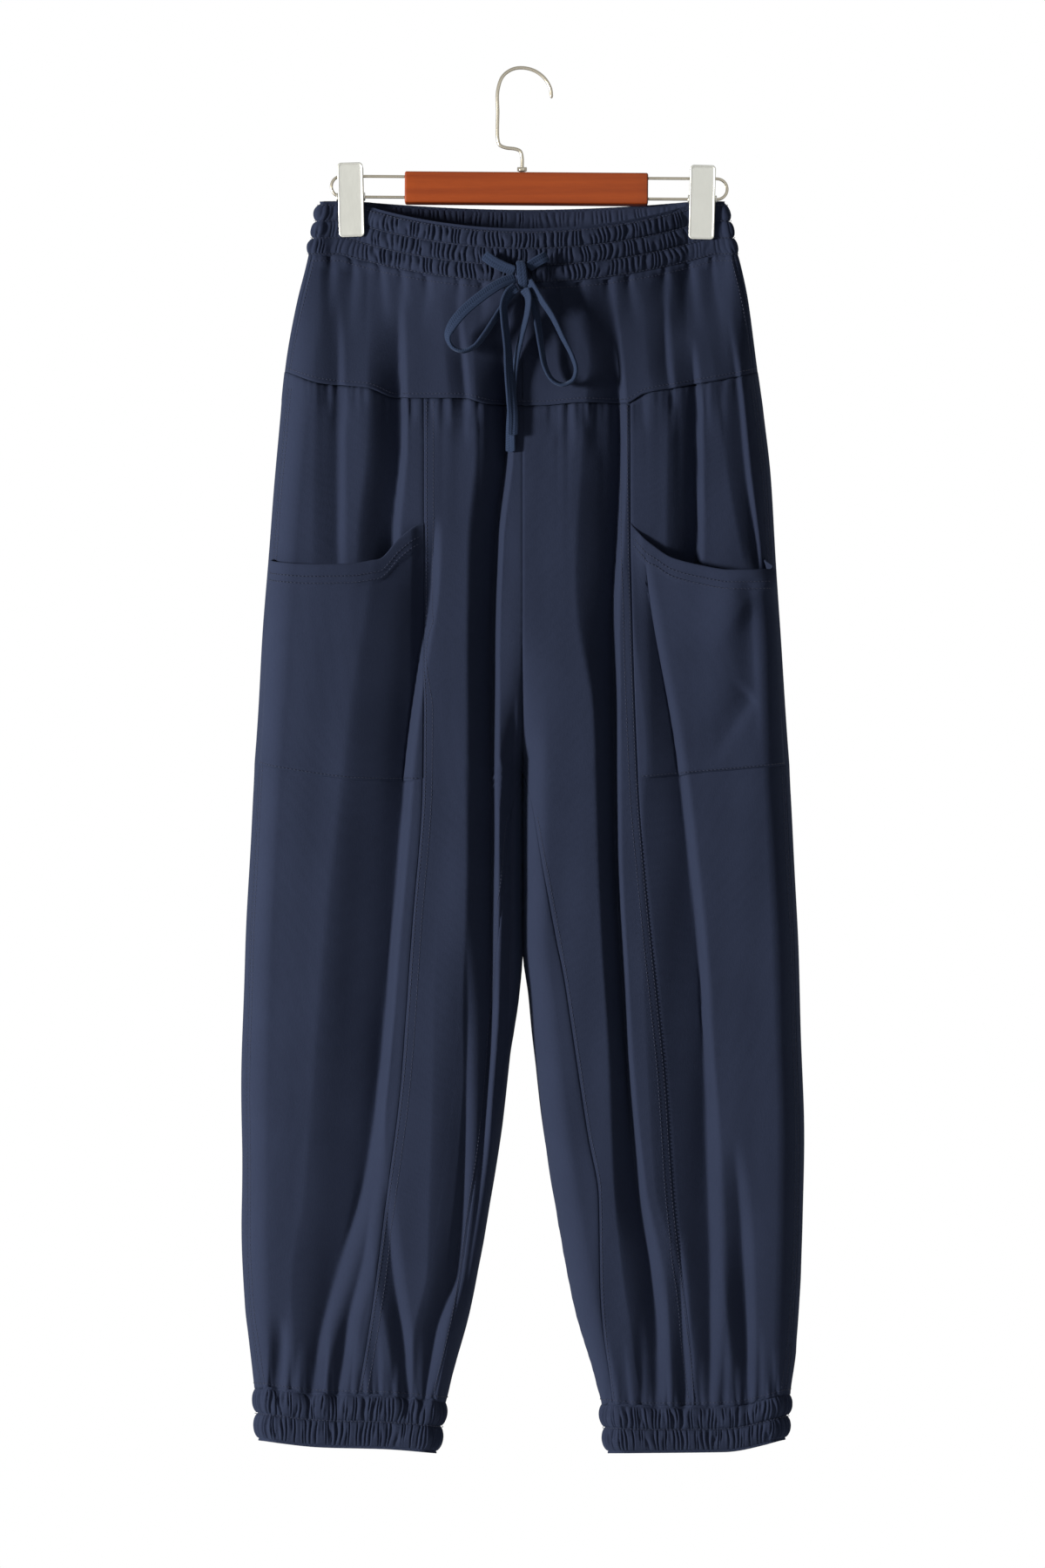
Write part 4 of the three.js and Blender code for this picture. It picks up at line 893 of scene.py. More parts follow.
def swept(centres, across, outwards, sides, width, thickness, taper, power=2.0, ridges=0, ridge=0.0):
    """Rings round a line of centres, scaled by `taper`: superellipses |2a / width|^power +
    |2b / thickness|^power = 1, with ridges of |sin| along the two wide faces."""
    angle = np.linspace(0, 2 * np.pi, sides, endpoint=False)
    cos, sin = np.cos(angle), np.sin(angle)
    wide = np.sign(cos) * np.abs(cos) ** (2 / power) * width / 2
    deep = np.sign(sin) * np.abs(sin) ** (2 / power) * thickness / 2
    deep = deep + ridge * (np.abs(np.sin(np.pi * ridges * (wide / width + 0.5))) - 0.5) * sin
    wide, deep = taper[:, None, None] * wide[:, None], taper[:, None, None] * deep[:, None]
    return centres[:, None] + across[:, None] * wide + outwards[:, None] * deep


def tube_mesh(name, rings, finish):
    """A mesh round the rings of an open tube, with its places round and along it as its UVs."""
    count, sides = rings.shape[:2]
    around = np.broadcast_to(np.linspace(0, sides, sides) * BRAID_STEP, (count, sides))
    uv = np.stack([around, arc_lengths(rings, 0)], -1).reshape(-1, 2)
    return make_mesh(name, rings.reshape(-1, 3), grid_faces(count, sides, ring=True), finish, uv)


def round_taper(count, step, radius):
    """1 along a tube, falling as a quarter circle to 0.02 over the last `radius` at each end."""
    at = np.arange(count) * step
    return np.maximum(0.02, shoulder(np.minimum(at, at[::-1]), radius))


def ribbon(name, rows):
    """A flat braided cord along a route. At each point its width lies square to the line and, at turn
    0, square to the -Y direction too; the turn rotates it about the line."""
    line = path_through(rows, CORD_STEP)
    centres, turn = down_to_z(line[:, :3]), np.radians(line[:, 3:])
    tangent = unit(np.gradient(centres, axis=0))
    front = unit(np.array([0, -1, 0]) + tangent * tangent[:, 1:2])
    beside = np.cross(tangent, front)
    across = beside * np.cos(turn) + front * np.sin(turn)
    outwards = front * np.cos(turn) - beside * np.sin(turn)
    taper = round_taper(len(centres), CORD_STEP, 1.6)
    rings = swept(centres, across, outwards, CORD_SIDES, CORD_WIDTH, CORD_THICKNESS, taper,
                  CORD_POWER, CORD_RIDGES, CORD_RIDGE)
    obj = cover(tube_mesh(name, rings, CORD_FINISH), "cord", name)
    return obj, drawn_in(centres) * MM


def knot_wrap():
    """The knot's middle: a cord's turn over the crossing, a flat tube round an oval ring that leans a
    little, narrower at the ring's top and bottom."""
    angle = np.linspace(0, 2 * np.pi, 96, endpoint=False)
    cos, sin = np.cos(angle), np.sin(angle)
    x = KNOT["x"] + KNOT_HEIGHT * KNOT_LEAN * sin + KNOT_ASIDE * cos
    y = KNOT["y"] - KNOT_FORWARD - KNOT_DEPTH * cos
    z = -KNOT["down"] - KNOT_HEIGHT * sin
    centres = np.stack([x, y, z], -1)
    tangent = unit(np.roll(centres, -1, 0) - np.roll(centres, 1, 0))
    across = np.broadcast_to([1.0, 0.0, KNOT_LEAN / 2], centres.shape)
    across = unit(across - tangent * np.sum(across * tangent, -1, keepdims=True))
    outwards = np.cross(across, tangent)
    taper = 1 - KNOT_NARROWING / KNOT_WIDTH * sin**2
    rings = swept(centres, across, outwards, CORD_SIDES, KNOT_WIDTH, KNOT_THICKNESS, taper,
                  CORD_POWER, CORD_RIDGES, KNOT_RIDGE)
    count, sides = rings.shape[:2]
    uv = np.stack(np.meshgrid(np.arange(sides) * BRAID_STEP, np.arange(count) * 0.5), -1)
    faces = grid_faces(count, sides, ring=True, loop=True)
    obj = make_mesh("drawstring_knot", rings.reshape(-1, 3), faces, CORD_FINISH, uv.reshape(-1, 2))
    return cover(obj, "cord", "drawstring_knot")


def add_drawstring():
    """The cords and the knot."""
    made = {name: ribbon(name, rows) for name, rows in CORD_ROUTES.items()}
    knot = knot_wrap()


add_drawstring()

# ---------- waistband and cuffs ----------

BAND_WAVES = 160
CUFF_WAVES = 88
GATHER_HEIGHT = 3.0
EDGE_ROWS = 4  # points round each rounded edge of a casing


def even_places(count, point_at, whole):
    """`count` places from 0 to `whole` that are equally far apart along the loop of `point_at`."""
    fine = np.linspace(0, whole, 4001)
    steps = np.linalg.norm(np.diff(point_at(fine), axis=0), axis=1)
    lengths = np.concatenate(([0], np.cumsum(steps)))
    return np.interp(np.arange(count) * lengths[-1] / count, lengths, fine)


def crowded(count, strength=0.35):
    """Shares from 0 to 1 that lie closer together near both ends."""
    t = np.linspace(0, 1, count)
    return t - strength * np.sin(2 * np.pi * t) / (2 * np.pi)


def gather_rise(place, channel, within, waves, puff):
    """How far a gathered channel stands out at `place` (0 to 1 round it) and `within` it (0 to 1 from
    top to bottom): puffed as sin^0.4 between its stitch rows, with broad lobes parted by narrow
    valleys (1 - 2|o|)^2.2, o being the distance from the valley in waves. The valleys wander and
    slant, and some fade over half of the channel."""
    around = 2 * np.pi * place
    uneven = (0.24 * np.sin(23 * around + 1.9 * channel) + 0.2 * np.sin(41 * around + 4.1 * channel)
              + 0.16 * np.sin(57 * around + 2.7 * channel) + 0.1 * np.sin(6 * within + 9 * around + channel)
              + 0.4 * (within - 0.5) * np.sin(17 * around + 1.3 * channel))
    phase = place * waves + uneven
    index = np.round(phase)
    lot = index.astype(int) % waves * 3 + 911 * channel.astype(int)
    strength, part, way = (LOTS[(lot + k) % 4096] for k in (0, 1, 2))
    toward = np.where(way < 0.5, within, 1 - within)
    fading = 1 - 0.85 * (part < 0.3) * smooth(2.4 * toward - 0.7)
    valley = (0.7 + 0.45 * strength) * fading * (1 - 2 * np.abs(phase - index)) ** 2.2
    swell = np.sin(np.pi * np.clip(within, 0.0004, 0.9996)) ** 0.4
    return swell * (puff + GATHER_HEIGHT * (1 - valley)) - GATHER_HEIGHT * (1 - swell)


def column(*stretches):
    """Stretches of numbers, one after another, as a column."""
    return np.concatenate(stretches)[:, None]


def casing(places, waves, channels, puff, rows_each, fullness, plain_at):
    """A gathered tube of cloth over elastic. Its cross-section is a closed loop: the outer face with
    its gathered channels, a rounded lower edge, a smoother inner face and a rounded upper edge."""
    place = (np.arange(len(places)) / len(places))[None, :]
    edge = CASING / 2
    each = crowded(rows_each + 1, 0.4)[:-1]
    outer_share = np.append([(k + each) / channels for k in range(channels)], 1.0)
    inner_share = np.linspace(1, 0, max(8, rows_each * channels // 2))
    face, lining = np.zeros(len(outer_share)), np.zeros(len(inner_share))
    arc = np.linspace(0, np.pi, EDGE_ROWS + 2)[1:-1]
    across, round_edge = np.cos(arc) * edge, np.sin(arc) * edge
    turning = np.linspace(1, -1, EDGE_ROWS)
    # For each row: its share of the height, how far below or above that it lies, its depth behind the
    # face, and how far it belongs to the outer face (1) or to the inner one (-1).
    share = column(outer_share, np.ones(EDGE_ROWS), inner_share, np.zeros(EDGE_ROWS))
    beyond = column(face, round_edge, lining, -round_edge)
    depth = column(face, across - edge, lining - CASING, -across - edge)
    outer = column(face + 1, turning, lining - 1, -turning)
    channel = np.clip(np.floor(share * channels + 1e-9), 0, channels - 1)
    within = np.clip(share * channels - channel, 0, 1)
    rise = gather_rise(place, channel, within, waves, puff)
    offset = depth + np.where(outer > 0, rise, -0.5 * rise) * fullness(places) * np.abs(outer)
    points, facing = plain_at(places[None, :], share)
    points = points + facing * offset[..., None]
    ruffle = 0.35 * rise * (np.exp(-share * 14) - np.exp(-(1 - share) * 14) * 0.6)
    points[..., 2] -= beyond + ruffle
    return points


def band_fullness(places):
    """The clips flatten the gathers that they hold."""
    side, turn = waist_turn(places)
    x = pants_point(side, turn, BAND_TOP_DOWN)[..., 0]
    clear = np.minimum(np.abs(x - CLIP_LEFT_X), np.abs(x - CLIP_RIGHT_X)) - PINCHED
    return mix(0.3, 1, smooth(clear / PINCHED))


def band_plain(place, share):
    """Points of the waistband's plain outer face, from its top (share 0) to its bottom (1), and the
    directions that it faces."""
    side, turn = waist_turn(np.broadcast_arrays(place, share)[0])
    inset = CASING / 2
    down = band_down(side, turn, 0.0) + inset + share * (BAND_HEIGHT - SEAM_GAP - inset - 0.6)
    level = np.minimum(down, BAND_TOP_DOWN + BAND_HEIGHT)
    points = pants_point(side, turn, level)
    points[..., 2] = -down
    return points, facing_at(side, turn, level)


def waist_point(place):
    """A point halfway down the waistband."""
    return band_plain(place, 0.5)[0]


def add_waistband():
    """One casing with three channels round the whole waist."""
    places = even_places(8 * BAND_WAVES, waist_point, 4.0)
    points = casing(places, BAND_WAVES, 3, -0.4, 11, band_fullness, band_plain)
    return cloth_mesh("waistband", points, ring=True, loop=True)


def add_cuff(side, name):
    """A casing with two channels round the leg, on the leg's own form."""
    def plain(turn, share):
        turn, share = np.broadcast_arrays(turn, share)
        top = cuff_seam_down(side, turn) + SEAM_GAP + CASING / 2
        down = mix(top, hem_down(side, turn) - CASING / 2, share)
        return pants_point(side, turn, down), facing_at(side, turn, down)

    turns = even_places(8 * CUFF_WAVES, lambda turn: plain(turn, 0.5)[0], 2.0)
    points = casing(turns, CUFF_WAVES, 2, -0.6, 12, np.ones_like, plain)
    return cloth_mesh(name, points, ring=True, loop=True, flip=side > 0)


waistband = add_waistband()
cuffs = {side: add_cuff(side, name) for side, name in ((LEFT, "cuff_left"), (RIGHT, "cuff_right"))}

# ---------- yokes, legs and pockets ----------

# How wide the rolls along a piece's edges are, and how deep at its top, its bottom and its sides.
SEAM_WIDTH = 1.5
YOKE_ROLLS = {"top": 2.6, "bottom": -0.5, "first": 0.9, "last": 0.9}
LEG_ROLLS = {"top": 1.6, "bottom": 3.0, "first": 0.6, "last": 0.6}
POCKET_ROLLS = {"top": 0.3, "bottom": 2.3, "first": 0.8, "last": 0.5}
# How far the cloth runs on behind the waistband and the cuffs.
TUCKED = 2.0


def seam_rolls(points, facing, top, bottom, first, last):
    """Rolls a piece's four edges towards the middle plane by depth * exp(-(d/w)^2), d being the
    distance from the edge. An edge that faces sideways stays where it is."""
    across, along = arc_lengths(points, 1), arc_lengths(points, 0)
    drop = (first * bell(across, SEAM_WIDTH) + last * bell(across[:, -1:] - across, SEAM_WIDTH)
            + top * bell(along, SEAM_WIDTH) + bottom * bell(along[-1:] - along, SEAM_WIDTH))
    return points - facing * np.array([0, 1, 0]) * drop[..., None]


def add_yoke(name, first, last, columns, rows):
    """A yoke from one place round the waist to another, from the waistband down to the legs' seam."""
    side, turn = waist_turn(np.linspace(first, last, columns)[None, :])
    top, bottom = band_down(side, turn, 1.0) - TUCKED, yoke_seam_down(side, turn) - SEAM_GAP / 2
    down = mix(top, bottom, crowded(rows)[:, None])
    points, facing = with_relief(yoke_relief, *np.broadcast_arrays(side, turn, down))
    return cloth_piece(name, seam_rolls(points, facing, **YOKE_ROLLS), False)


def panel_grid(side, columns, rows, from_seam, to_seam):
    """Turns and heights of a panel's columns and rows, from one seam to another that run down the leg
    and from the yoke's seam to just behind the cuff."""
    fall = crowded(rows, 0.55)[:, None]
    level = mix(YOKE_SEAM_NEAR, cuff_top(side, 0.5), fall)
    turn = mix(from_seam(side, level), to_seam(side, level), crowded(columns)[None, :])
    return turn, mix(yoke_seam_down(side, turn) + SEAM_GAP / 2, cuff_seam_down(side, turn) + TUCKED, fall)


def add_leg(side, word):
    """The three panels of a leg: outer front, inner front and back."""
    made = []
    for name, columns, rows, from_seam, to_seam in (
        (f"side_front_{word}", 90, 172, side_seam, princess),
        (f"centre_front_{word}", 82, 172, princess, inseam_turn),
        (f"back_{word}", 104, 140, back_start, back_end),
    ):
        grid = panel_grid(side, columns, rows, from_seam, to_seam)
        points, facing = with_relief(leg_relief, side, *grid)
        made.append(cloth_piece(name, seam_rolls(points, facing, **LEG_ROLLS), side > 0))
    return made


# How far the outer corner of the mouth is drawn in, as a share of the pocket's width.
POCKET_LIFT = {LEFT: 0.0, RIGHT: 0.085}
# Ridges (depth below 0) and dents of the right pocket, from its lifted corner and across it.
POCKET_CREASES = {
    LEFT: [],
    RIGHT: [(193, 404, 146, 474, 10, -5.5), (183, 420, 188, 566, 6, 3.5), (182, 507, 139, 568, 7, 3.0)],
}
# The hem's depth at the mouth, and the pocket's length that it is taken from.
POCKET_HEM, POCKET_LENGTH = 17.0, 165.0


def pocket_grid(side, share, fall, inset=0.0):
    """A pocket's points, from the side seam (share 0) to the princess seam (1) and from its mouth
    (fall 0) to its bottom (1). It gapes as sin * (1 - fall)^1.4 and lies on the leg where it is sewn
    down; `inset` moves a point down the cloth."""
    down = mix(pocket_mouth(side, share), pocket_bottom(side, share), fall) + inset
    start = mix(side_seam(side, down), princess(side, down), POCKET_LIFT[side] * np.exp(-6 * fall))
    turn = mix(start, princess(side, down), share)
    points, facing = with_relief(leg_relief, side, turn, down, pocket=True)
    x = x_at(side, turn, down)
    skew = share ** (math.log(0.5) / math.log(POCKET_GAPE_AT[side]))
    gape = POCKET_BULGE[side] * np.sin(np.pi * skew) * (1 - fall) ** 1.4
    hem = 0.6 * smooth((POCKET_HEM - fall * POCKET_LENGTH) / 1.5)
    sewn = smooth(share / 0.06) * smooth((1 - share) / 0.08)
    creases = crease_depth(POCKET_CREASES[side], x, down)
    rise = mix(0.35, POCKET_STANDOFF + gape + hem - creases, sewn)
    return points + facing * rise[..., None], facing


def add_pocket(side, name):
    """A patch pocket with rolled edges."""
    grid = np.broadcast_arrays(crowded(96)[None, :], crowded(88)[:, None])
    points, facing = pocket_grid(side, *grid)
    return cloth_piece(name, seam_rolls(points, facing, **POCKET_ROLLS), side > 0)


yoke_first = float(side_seam(LEFT, YOKE_SEAM_NEAR))
yoke_last = 2 - float(side_seam(RIGHT, YOKE_SEAM_NEAR))
yoke_front = add_yoke("yoke_front", yoke_first, yoke_last, 300, 52)
yoke_back = add_yoke("yoke_back", yoke_last + 1e-4, yoke_first + 4 - 1e-4, 220, 44)
legs = {LEFT: add_leg(LEFT, "left"), RIGHT: add_leg(RIGHT, "right")}
pockets = {LEFT: add_pocket(LEFT, "pocket_left"), RIGHT: add_pocket(RIGHT, "pocket_right")}

# ---------- stitching ----------

STITCH_PITCH = 3.1
STITCH_LENGTH = 2.3
STITCH_WIDTH = 0.62
CASING_STITCH = {"pitch": 2.9, "length": 2.2}
stitch_rows = []


def sew(points, facing, lift=0.15, pitch=STITCH_PITCH, length=STITCH_LENGTH):
    """Lays a row of stitches along a line of points, evenly spaced, for the stitching piece."""
    steps = np.linalg.norm(np.diff(points, axis=0), axis=1)
    at = np.concatenate(([0], np.cumsum(steps)))
    middle = np.arange(pitch / 2, at[-1] - pitch / 2, pitch)

    def sample(values, where):
        return np.stack([np.interp(where, at, values[:, k]) for k in range(3)], -1)

    centre = sample(points, middle)
    ahead = unit(sample(points, middle + 0.6) - sample(points, middle - 0.6))
    up = unit(sample(facing, middle))
    stitch_rows.append((centre + up * lift, ahead * length / 2, up))


def stitch_mesh():
    """One mesh of all stitches. Each is a spindle: a point, two square rings and a point."""
    centre, ahead, up = (np.vstack(part) for part in zip(*stitch_rows))
    beside = unit(np.cross(ahead, up)) * STITCH_WIDTH / 2
    thick = up * STITCH_WIDTH * 0.42
    corners = [centre - ahead]
    for along in (-0.55, 0.55):
        for wide, tall in ((1, 0), (0, 1), (-1, 0), (0, -1)):
            corners.append(centre + ahead * along + beside * wide + thick * tall)
    corners.append(centre + ahead)
    points = np.stack(corners, 1)
    count, each = points.shape[:2]
    faces = []
    for k in range(4):
        n = (k + 1) % 4
        faces += [(0, 1 + n, 1 + k), (1 + k, 1 + n, 5 + n), (1 + k, 5 + n, 5 + k), (9, 5 + k, 5 + n)]
    every = (np.array(faces) + np.arange(count)[:, None, None] * each).reshape(-1, 3)
    obj = make_mesh("stitching", points.reshape(-1, 3), every, THREAD_FINISH)
    return cover(obj, "cloth")


def turn_step(side, turn, down):
    """Millimetres along the cloth for one unit of turn."""
    step = pants_point(side, turn + PROBE, down) - pants_point(side, turn - PROBE, down)
    return np.maximum(np.linalg.norm(step, axis=-1) / (2 * PROBE), 20)


def sew_down(side, seam, off, start, end, relief=leg_relief):
    """A row of stitches `off` millimetres beside a seam that runs down the cloth."""
    down = np.linspace(start, end, 900)
    turn = seam(side, down)
    turn = turn + off / turn_step(side, turn, down)
    points, facing = with_relief(relief, side, turn, down)
    sew(points, facing)


def sew_round(first, last, down_at):
    """A row of stitches round the yokes, from one place round the waist to another."""
    side, turn = waist_turn(np.linspace(first, last, 1400))
    sew(*with_relief(yoke_relief, side, turn, down_at(side, turn)))


def add_stitching():
    """Rows beside the seams, under the waistband, over the yokes' lower seam, round the casings, over
    the cuffs, and along the mouths and bottoms of the pockets."""
    for side, end in ((LEFT, 1066), (RIGHT, 1071)):
        for off in (1.9, 7.4):
            sew_down(side, princess, off, 266, end - 2)
        for off in (2.0, 7.5):
            sew_down(side, side_seam, off, 256, end - 8)
        sew_down(side, inseam_turn, -2.0, 600, end - 2)
        sew_down(side, side_seam, 2.0, 152, 242, yoke_relief)
    for down_at in (lambda s, t: band_down(s, t, 1.0) + 4, lambda s, t: yoke_seam_down(s, t) - 3.2):
        sew_round(0.02, 1.98, down_at)
        sew_round(2.02, 3.98, down_at)
    for share in (0.02, 1 / 3, 2 / 3, 0.985):
        place = np.linspace(0, 3.999, 2400)
        sew(*band_plain(place, np.full(2400, share)), lift=0.5, **CASING_STITCH)
    for side in (LEFT, RIGHT):
        turn = np.linspace(0, 1.999, 1200)
        seam = cuff_seam_down(side, turn)
        down = (seam + SEAM_GAP + hem_down(side, turn)) / 2
        sew(pants_point(side, turn, down), facing_at(side, turn, down), lift=0.4, **CASING_STITCH)
        sew(*with_relief(leg_relief, side, turn, seam - 2.5))
        share = np.linspace(0.015, 0.985, 500)
        for inset in (9.8, 15.4):
            sew(*pocket_grid(side, share, np.zeros(500), inset))
        sew(*pocket_grid(side, share, np.full(500, 0.988)))
    return stitch_mesh()


stitching = add_stitching()

# ---------- hanger ----------

CLIP_X = {LEFT: CLIP_LEFT_X, RIGHT: CLIP_RIGHT_X}
HOOK_WIRE = 2.8
# BAR_SETTLE is how far the bar's middle sits below the height that its top gives.
BAR = {"left": -94.5, "right": 100.8, "top": 81.9, "height": 25.0, "depth": 13.0}
BAR_TILT = math.radians(0.4)
BAR_ROUNDING, BAR_SETTLE = 1.5, 1.4
WIRE = 2.4
WIRE_STEP = 0.8
CORNER_POINTS = 9
WIRE_UPPER_DOWN, WIRE_LOWER_DOWN = 86.6, 103.2
WIRE_ENDS = {LEFT: -153.6, RIGHT: 164.5}
NUT = {"x": -0.35, "down": 80.0, "width": 7.8, "height": 3.4}
NUT_SIDES, NUT_CHAMFER = 48, 0.4
CLIP_TOP_SPREAD, CLIP_JAW_SPREAD = 11.2, 6.6
CLIP_LEAN = math.radians(1.5)
# How far a plate's outline is drawn in, and how far out it lies there: from the middle of the inner
# face round the rim and down into the pan.
PLATE_LOOPS = [
    (10.25, 0.0), (5.0, 0.0), (0.6, 0.0), (0.15, 0.15), (0.0, 0.45), (0.0, 1.15), (0.15, 1.45),
    (0.5, 1.62), (1.0, 1.6), (1.35, 1.36), (1.7, 1.25), (3.0, 1.25), (5.0, 1.25), (10.25, 1.25),
]
# A cheek's section, as radius and place across it, and how far from the clip's middle it is.
CHEEK_PROFILE = np.array([(1.4, -0.7), (3.0, -0.7), (3.4, -0.3), (3.4, 0.3), (3.0, 0.7), (1.4, 0.7)])
CHEEK_OFFSET, CHEEK_SIDES = 10.9, 28
SPRING = {"turns": 9, "length": 15.0, "radius": 2.3, "wire": 0.9, "inward": 0.8}
HOOK_ROUTE = [
    (-0.35, 81.3), (-0.35, 70.5), (-1.8, 65.6), (-5.5, 63.8), (-14, 62.6), (-18.4, 60.4), (-19.9, 55.5),
    (-19.9, 34), (-19.9, 17), (-16, 5.6), (-8.5, -0.2), (0, -1.5), (9.5, 0.8), (17.6, 6.8), (22.4, 15),
    (23.4, 23.2),
]


def bar_drop(x):
    """How much lower the tilted hanger is at x."""
    return math.tan(BAR_TILT) * x


def turned(a, b, angle):
    """Two coordinates of points, turned by an angle from the first towards the second."""
    cos, sin = math.cos(angle), math.sin(angle)
    return a * cos - b * sin, a * sin + b * cos


def wire_tube(name, route, thick, rounding=1.2):
    """A round wire along a flat route of x and down, rounded at its ends."""
    centres = down_to_z(path_through([(x, 0.0, down) for x, down in route], WIRE_STEP))
    outwards = np.broadcast_to([0.0, -1.0, 0.0], centres.shape)
    across = np.cross(unit(np.gradient(centres, axis=0)), outwards)
    taper = round_taper(len(centres), WIRE_STEP, rounding)
    rings = swept(centres, across, outwards, 18, thick, thick, taper)
    cover(tube_mesh(name, rings, STEEL_FINISH), "steel", name)


def add_nut():
    """The nut on the hook's stem: a ring with six flats, whose radius is multiplied by
    cos(30 degrees) / cos(angle from the middle of the flat)."""
    bore, half, wide = HOOK_WIRE / 2 + SEAM_GAP, NUT["height"] / 2, NUT["width"] / 2
    profile = np.array([
        (bore, -half), (wide - NUT_CHAMFER, -half), (wide, NUT_CHAMFER - half),
        (wide, half - NUT_CHAMFER), (wide - NUT_CHAMFER, half), (bore, half),
    ])
    angle = np.linspace(0, 2 * np.pi, NUT_SIDES, endpoint=False)
    flats = np.cos(np.pi / 6) / np.cos(np.mod(angle, np.pi / 3) - np.pi / 6)
    ring, height = np.broadcast_arrays(profile[:, :1] * flats, profile[:, 1:])
    points = np.stack([ring * np.cos(angle), ring * np.sin(angle), height], -1)
    points = points + np.array([NUT["x"], 0, -NUT["down"]])
    faces = grid_faces(len(profile), NUT_SIDES, ring=True, loop=True)
    cover(make_mesh("hanger_nut", points.reshape(-1, 3), faces, STEEL_FINISH), "steel", "hanger_nut")


def rounded_outline(width, height, corner):
    """A rectangle's outline with rounded corners, anticlockwise from the lower right."""
    angle = np.linspace(0, np.pi / 2, CORNER_POINTS)
    found = []
    for k, (sx, sy) in enumerate(((1, -1), (1, 1), (-1, 1), (-1, -1))):
        turned = angle + (k - 1) * np.pi / 2
        found.append(np.stack([sx * (width / 2 - corner) + corner * np.cos(turned),
                               sy * (height / 2 - corner) + corner * np.sin(turned)], -1))
    return np.vstack(found)


def add_bar():
    """The bar: a rounded section along X, drawn in as a quarter circle at its ends."""
    half = (BAR["right"] - BAR["left"]) / 2
    middle = (BAR["right"] + BAR["left"]) / 2
    arc = np.linspace(0, np.pi / 2, 6)
    inset = BAR_ROUNDING * (1 - np.sin(arc))
    ends = half - BAR_ROUNDING + BAR_ROUNDING * np.cos(arc)
    rows = [(half, 5.9), (half, 3.5), *zip(ends, inset)]
    rows += [(half * s, 0.0) for s in (0.9, 0.6, 0.3, 0.0, -0.3, -0.6, -0.9)]
    rows += [*zip(-ends[::-1], inset[::-1]), (-half, 3.5), (-half, 5.9)]
    rings = []
    for x, inward in rows:
        corner = max(0.3, 1.6 - inward * 0.3)
        outline = rounded_outline(BAR["depth"] - 2 * inward, BAR["height"] - 2 * inward, corner)
        rings.append(np.column_stack([np.full(len(outline), x), outline]))
    x, y, z = np.moveaxis(np.array(rings), -1, 0)
    x, z = turned(x, z, -BAR_TILT)
    drop = BAR["top"] + BAR["height"] / 2 + BAR_SETTLE + bar_drop(middle)
    points = np.stack([x + middle, y, z - drop], -1)
    faces = grid_faces(*points.shape[:2], ring=True)
    obj = make_mesh("hanger_bar", points.reshape(-1, 3), faces, WOOD_FINISH, draw_in=False)
    cover(obj, "wood", "hanger_bar")


def add_wire(side, name):
    """A wire from the bar's end out to a half-round bend and back."""
    bar_end = BAR["left"] - SEAM_GAP if side == LEFT else BAR["right"] + SEAM_GAP
    radius = (WIRE_LOWER_DOWN - WIRE_UPPER_DOWN) / 2
    middle = (WIRE_LOWER_DOWN + WIRE_UPPER_DOWN) / 2
    centre = WIRE_ENDS[side] - side * radius
    bend = [(centre + side * radius * math.cos(a), middle + radius * math.sin(a))
            for a in np.linspace(-math.pi / 2, math.pi / 2, 9)]
    straight = [mix(bar_end - side * 1.2, centre, s) for s in (0, 0.3, 0.6, 0.9)]
    route = [(x, WIRE_UPPER_DOWN) for x in straight] + bend + [(x, WIRE_LOWER_DOWN) for x in straight[::-1]]
    wire_tube(name, [(x, down + bar_drop(x)) for x, down in route], WIRE)


def plate_points(back):
    """A clip's plate, centred and leaning as when closed: a shallow pan with a rounded rim."""
    rings = []
    for inward, rise in PLATE_LOOPS:
        corner = min(max(0.2, 3.2 - inward * 0.6), CLIP_WIDTH / 2 - inward)
        outline = rounded_outline(CLIP_WIDTH - 2 * inward, CLIP_HEIGHT - 2 * inward, corner)
        rings.append(np.insert(outline, 1, CLIP_PLATE - rise, axis=1))
    x, y, z = np.moveaxis(np.array(rings), -1, 0)
    y, z = turned(y, z, math.atan((CLIP_TOP_SPREAD - CLIP_JAW_SPREAD) / CLIP_HEIGHT))
    points = np.stack([x, y - (CLIP_TOP_SPREAD + CLIP_JAW_SPREAD) / 2, z], -1)
    return points * np.array([-1, -1, 1]) if back else points


def place_on_clip(points, side):
    """Turns points made upright about the clip's middle and sets them in place."""
    x, y, z = np.moveaxis(points, -1, 0)
    x, z = turned(x, z, -side * CLIP_LEAN)
    drop = CLIP_TOP_DOWN + CLIP_HEIGHT / 2 + bar_drop(CLIP_X[side])
    return np.stack([x + CLIP_X[side], y, z - drop], -1)


def cheek_points(offset):
    """A round cheek beside the plates, where the lower wire passes through the clip."""
    pivot = CLIP_HEIGHT / 2 - (WIRE_LOWER_DOWN - CLIP_TOP_DOWN)
    angle = np.linspace(0, 2 * np.pi, CHEEK_SIDES, endpoint=False)
    x, radius, angle = np.broadcast_arrays(CHEEK_PROFILE[:, 1:] + offset, CHEEK_PROFILE[:, :1], angle)
    return np.stack([x, radius * np.cos(angle), radius * np.sin(angle) + pivot], -1)


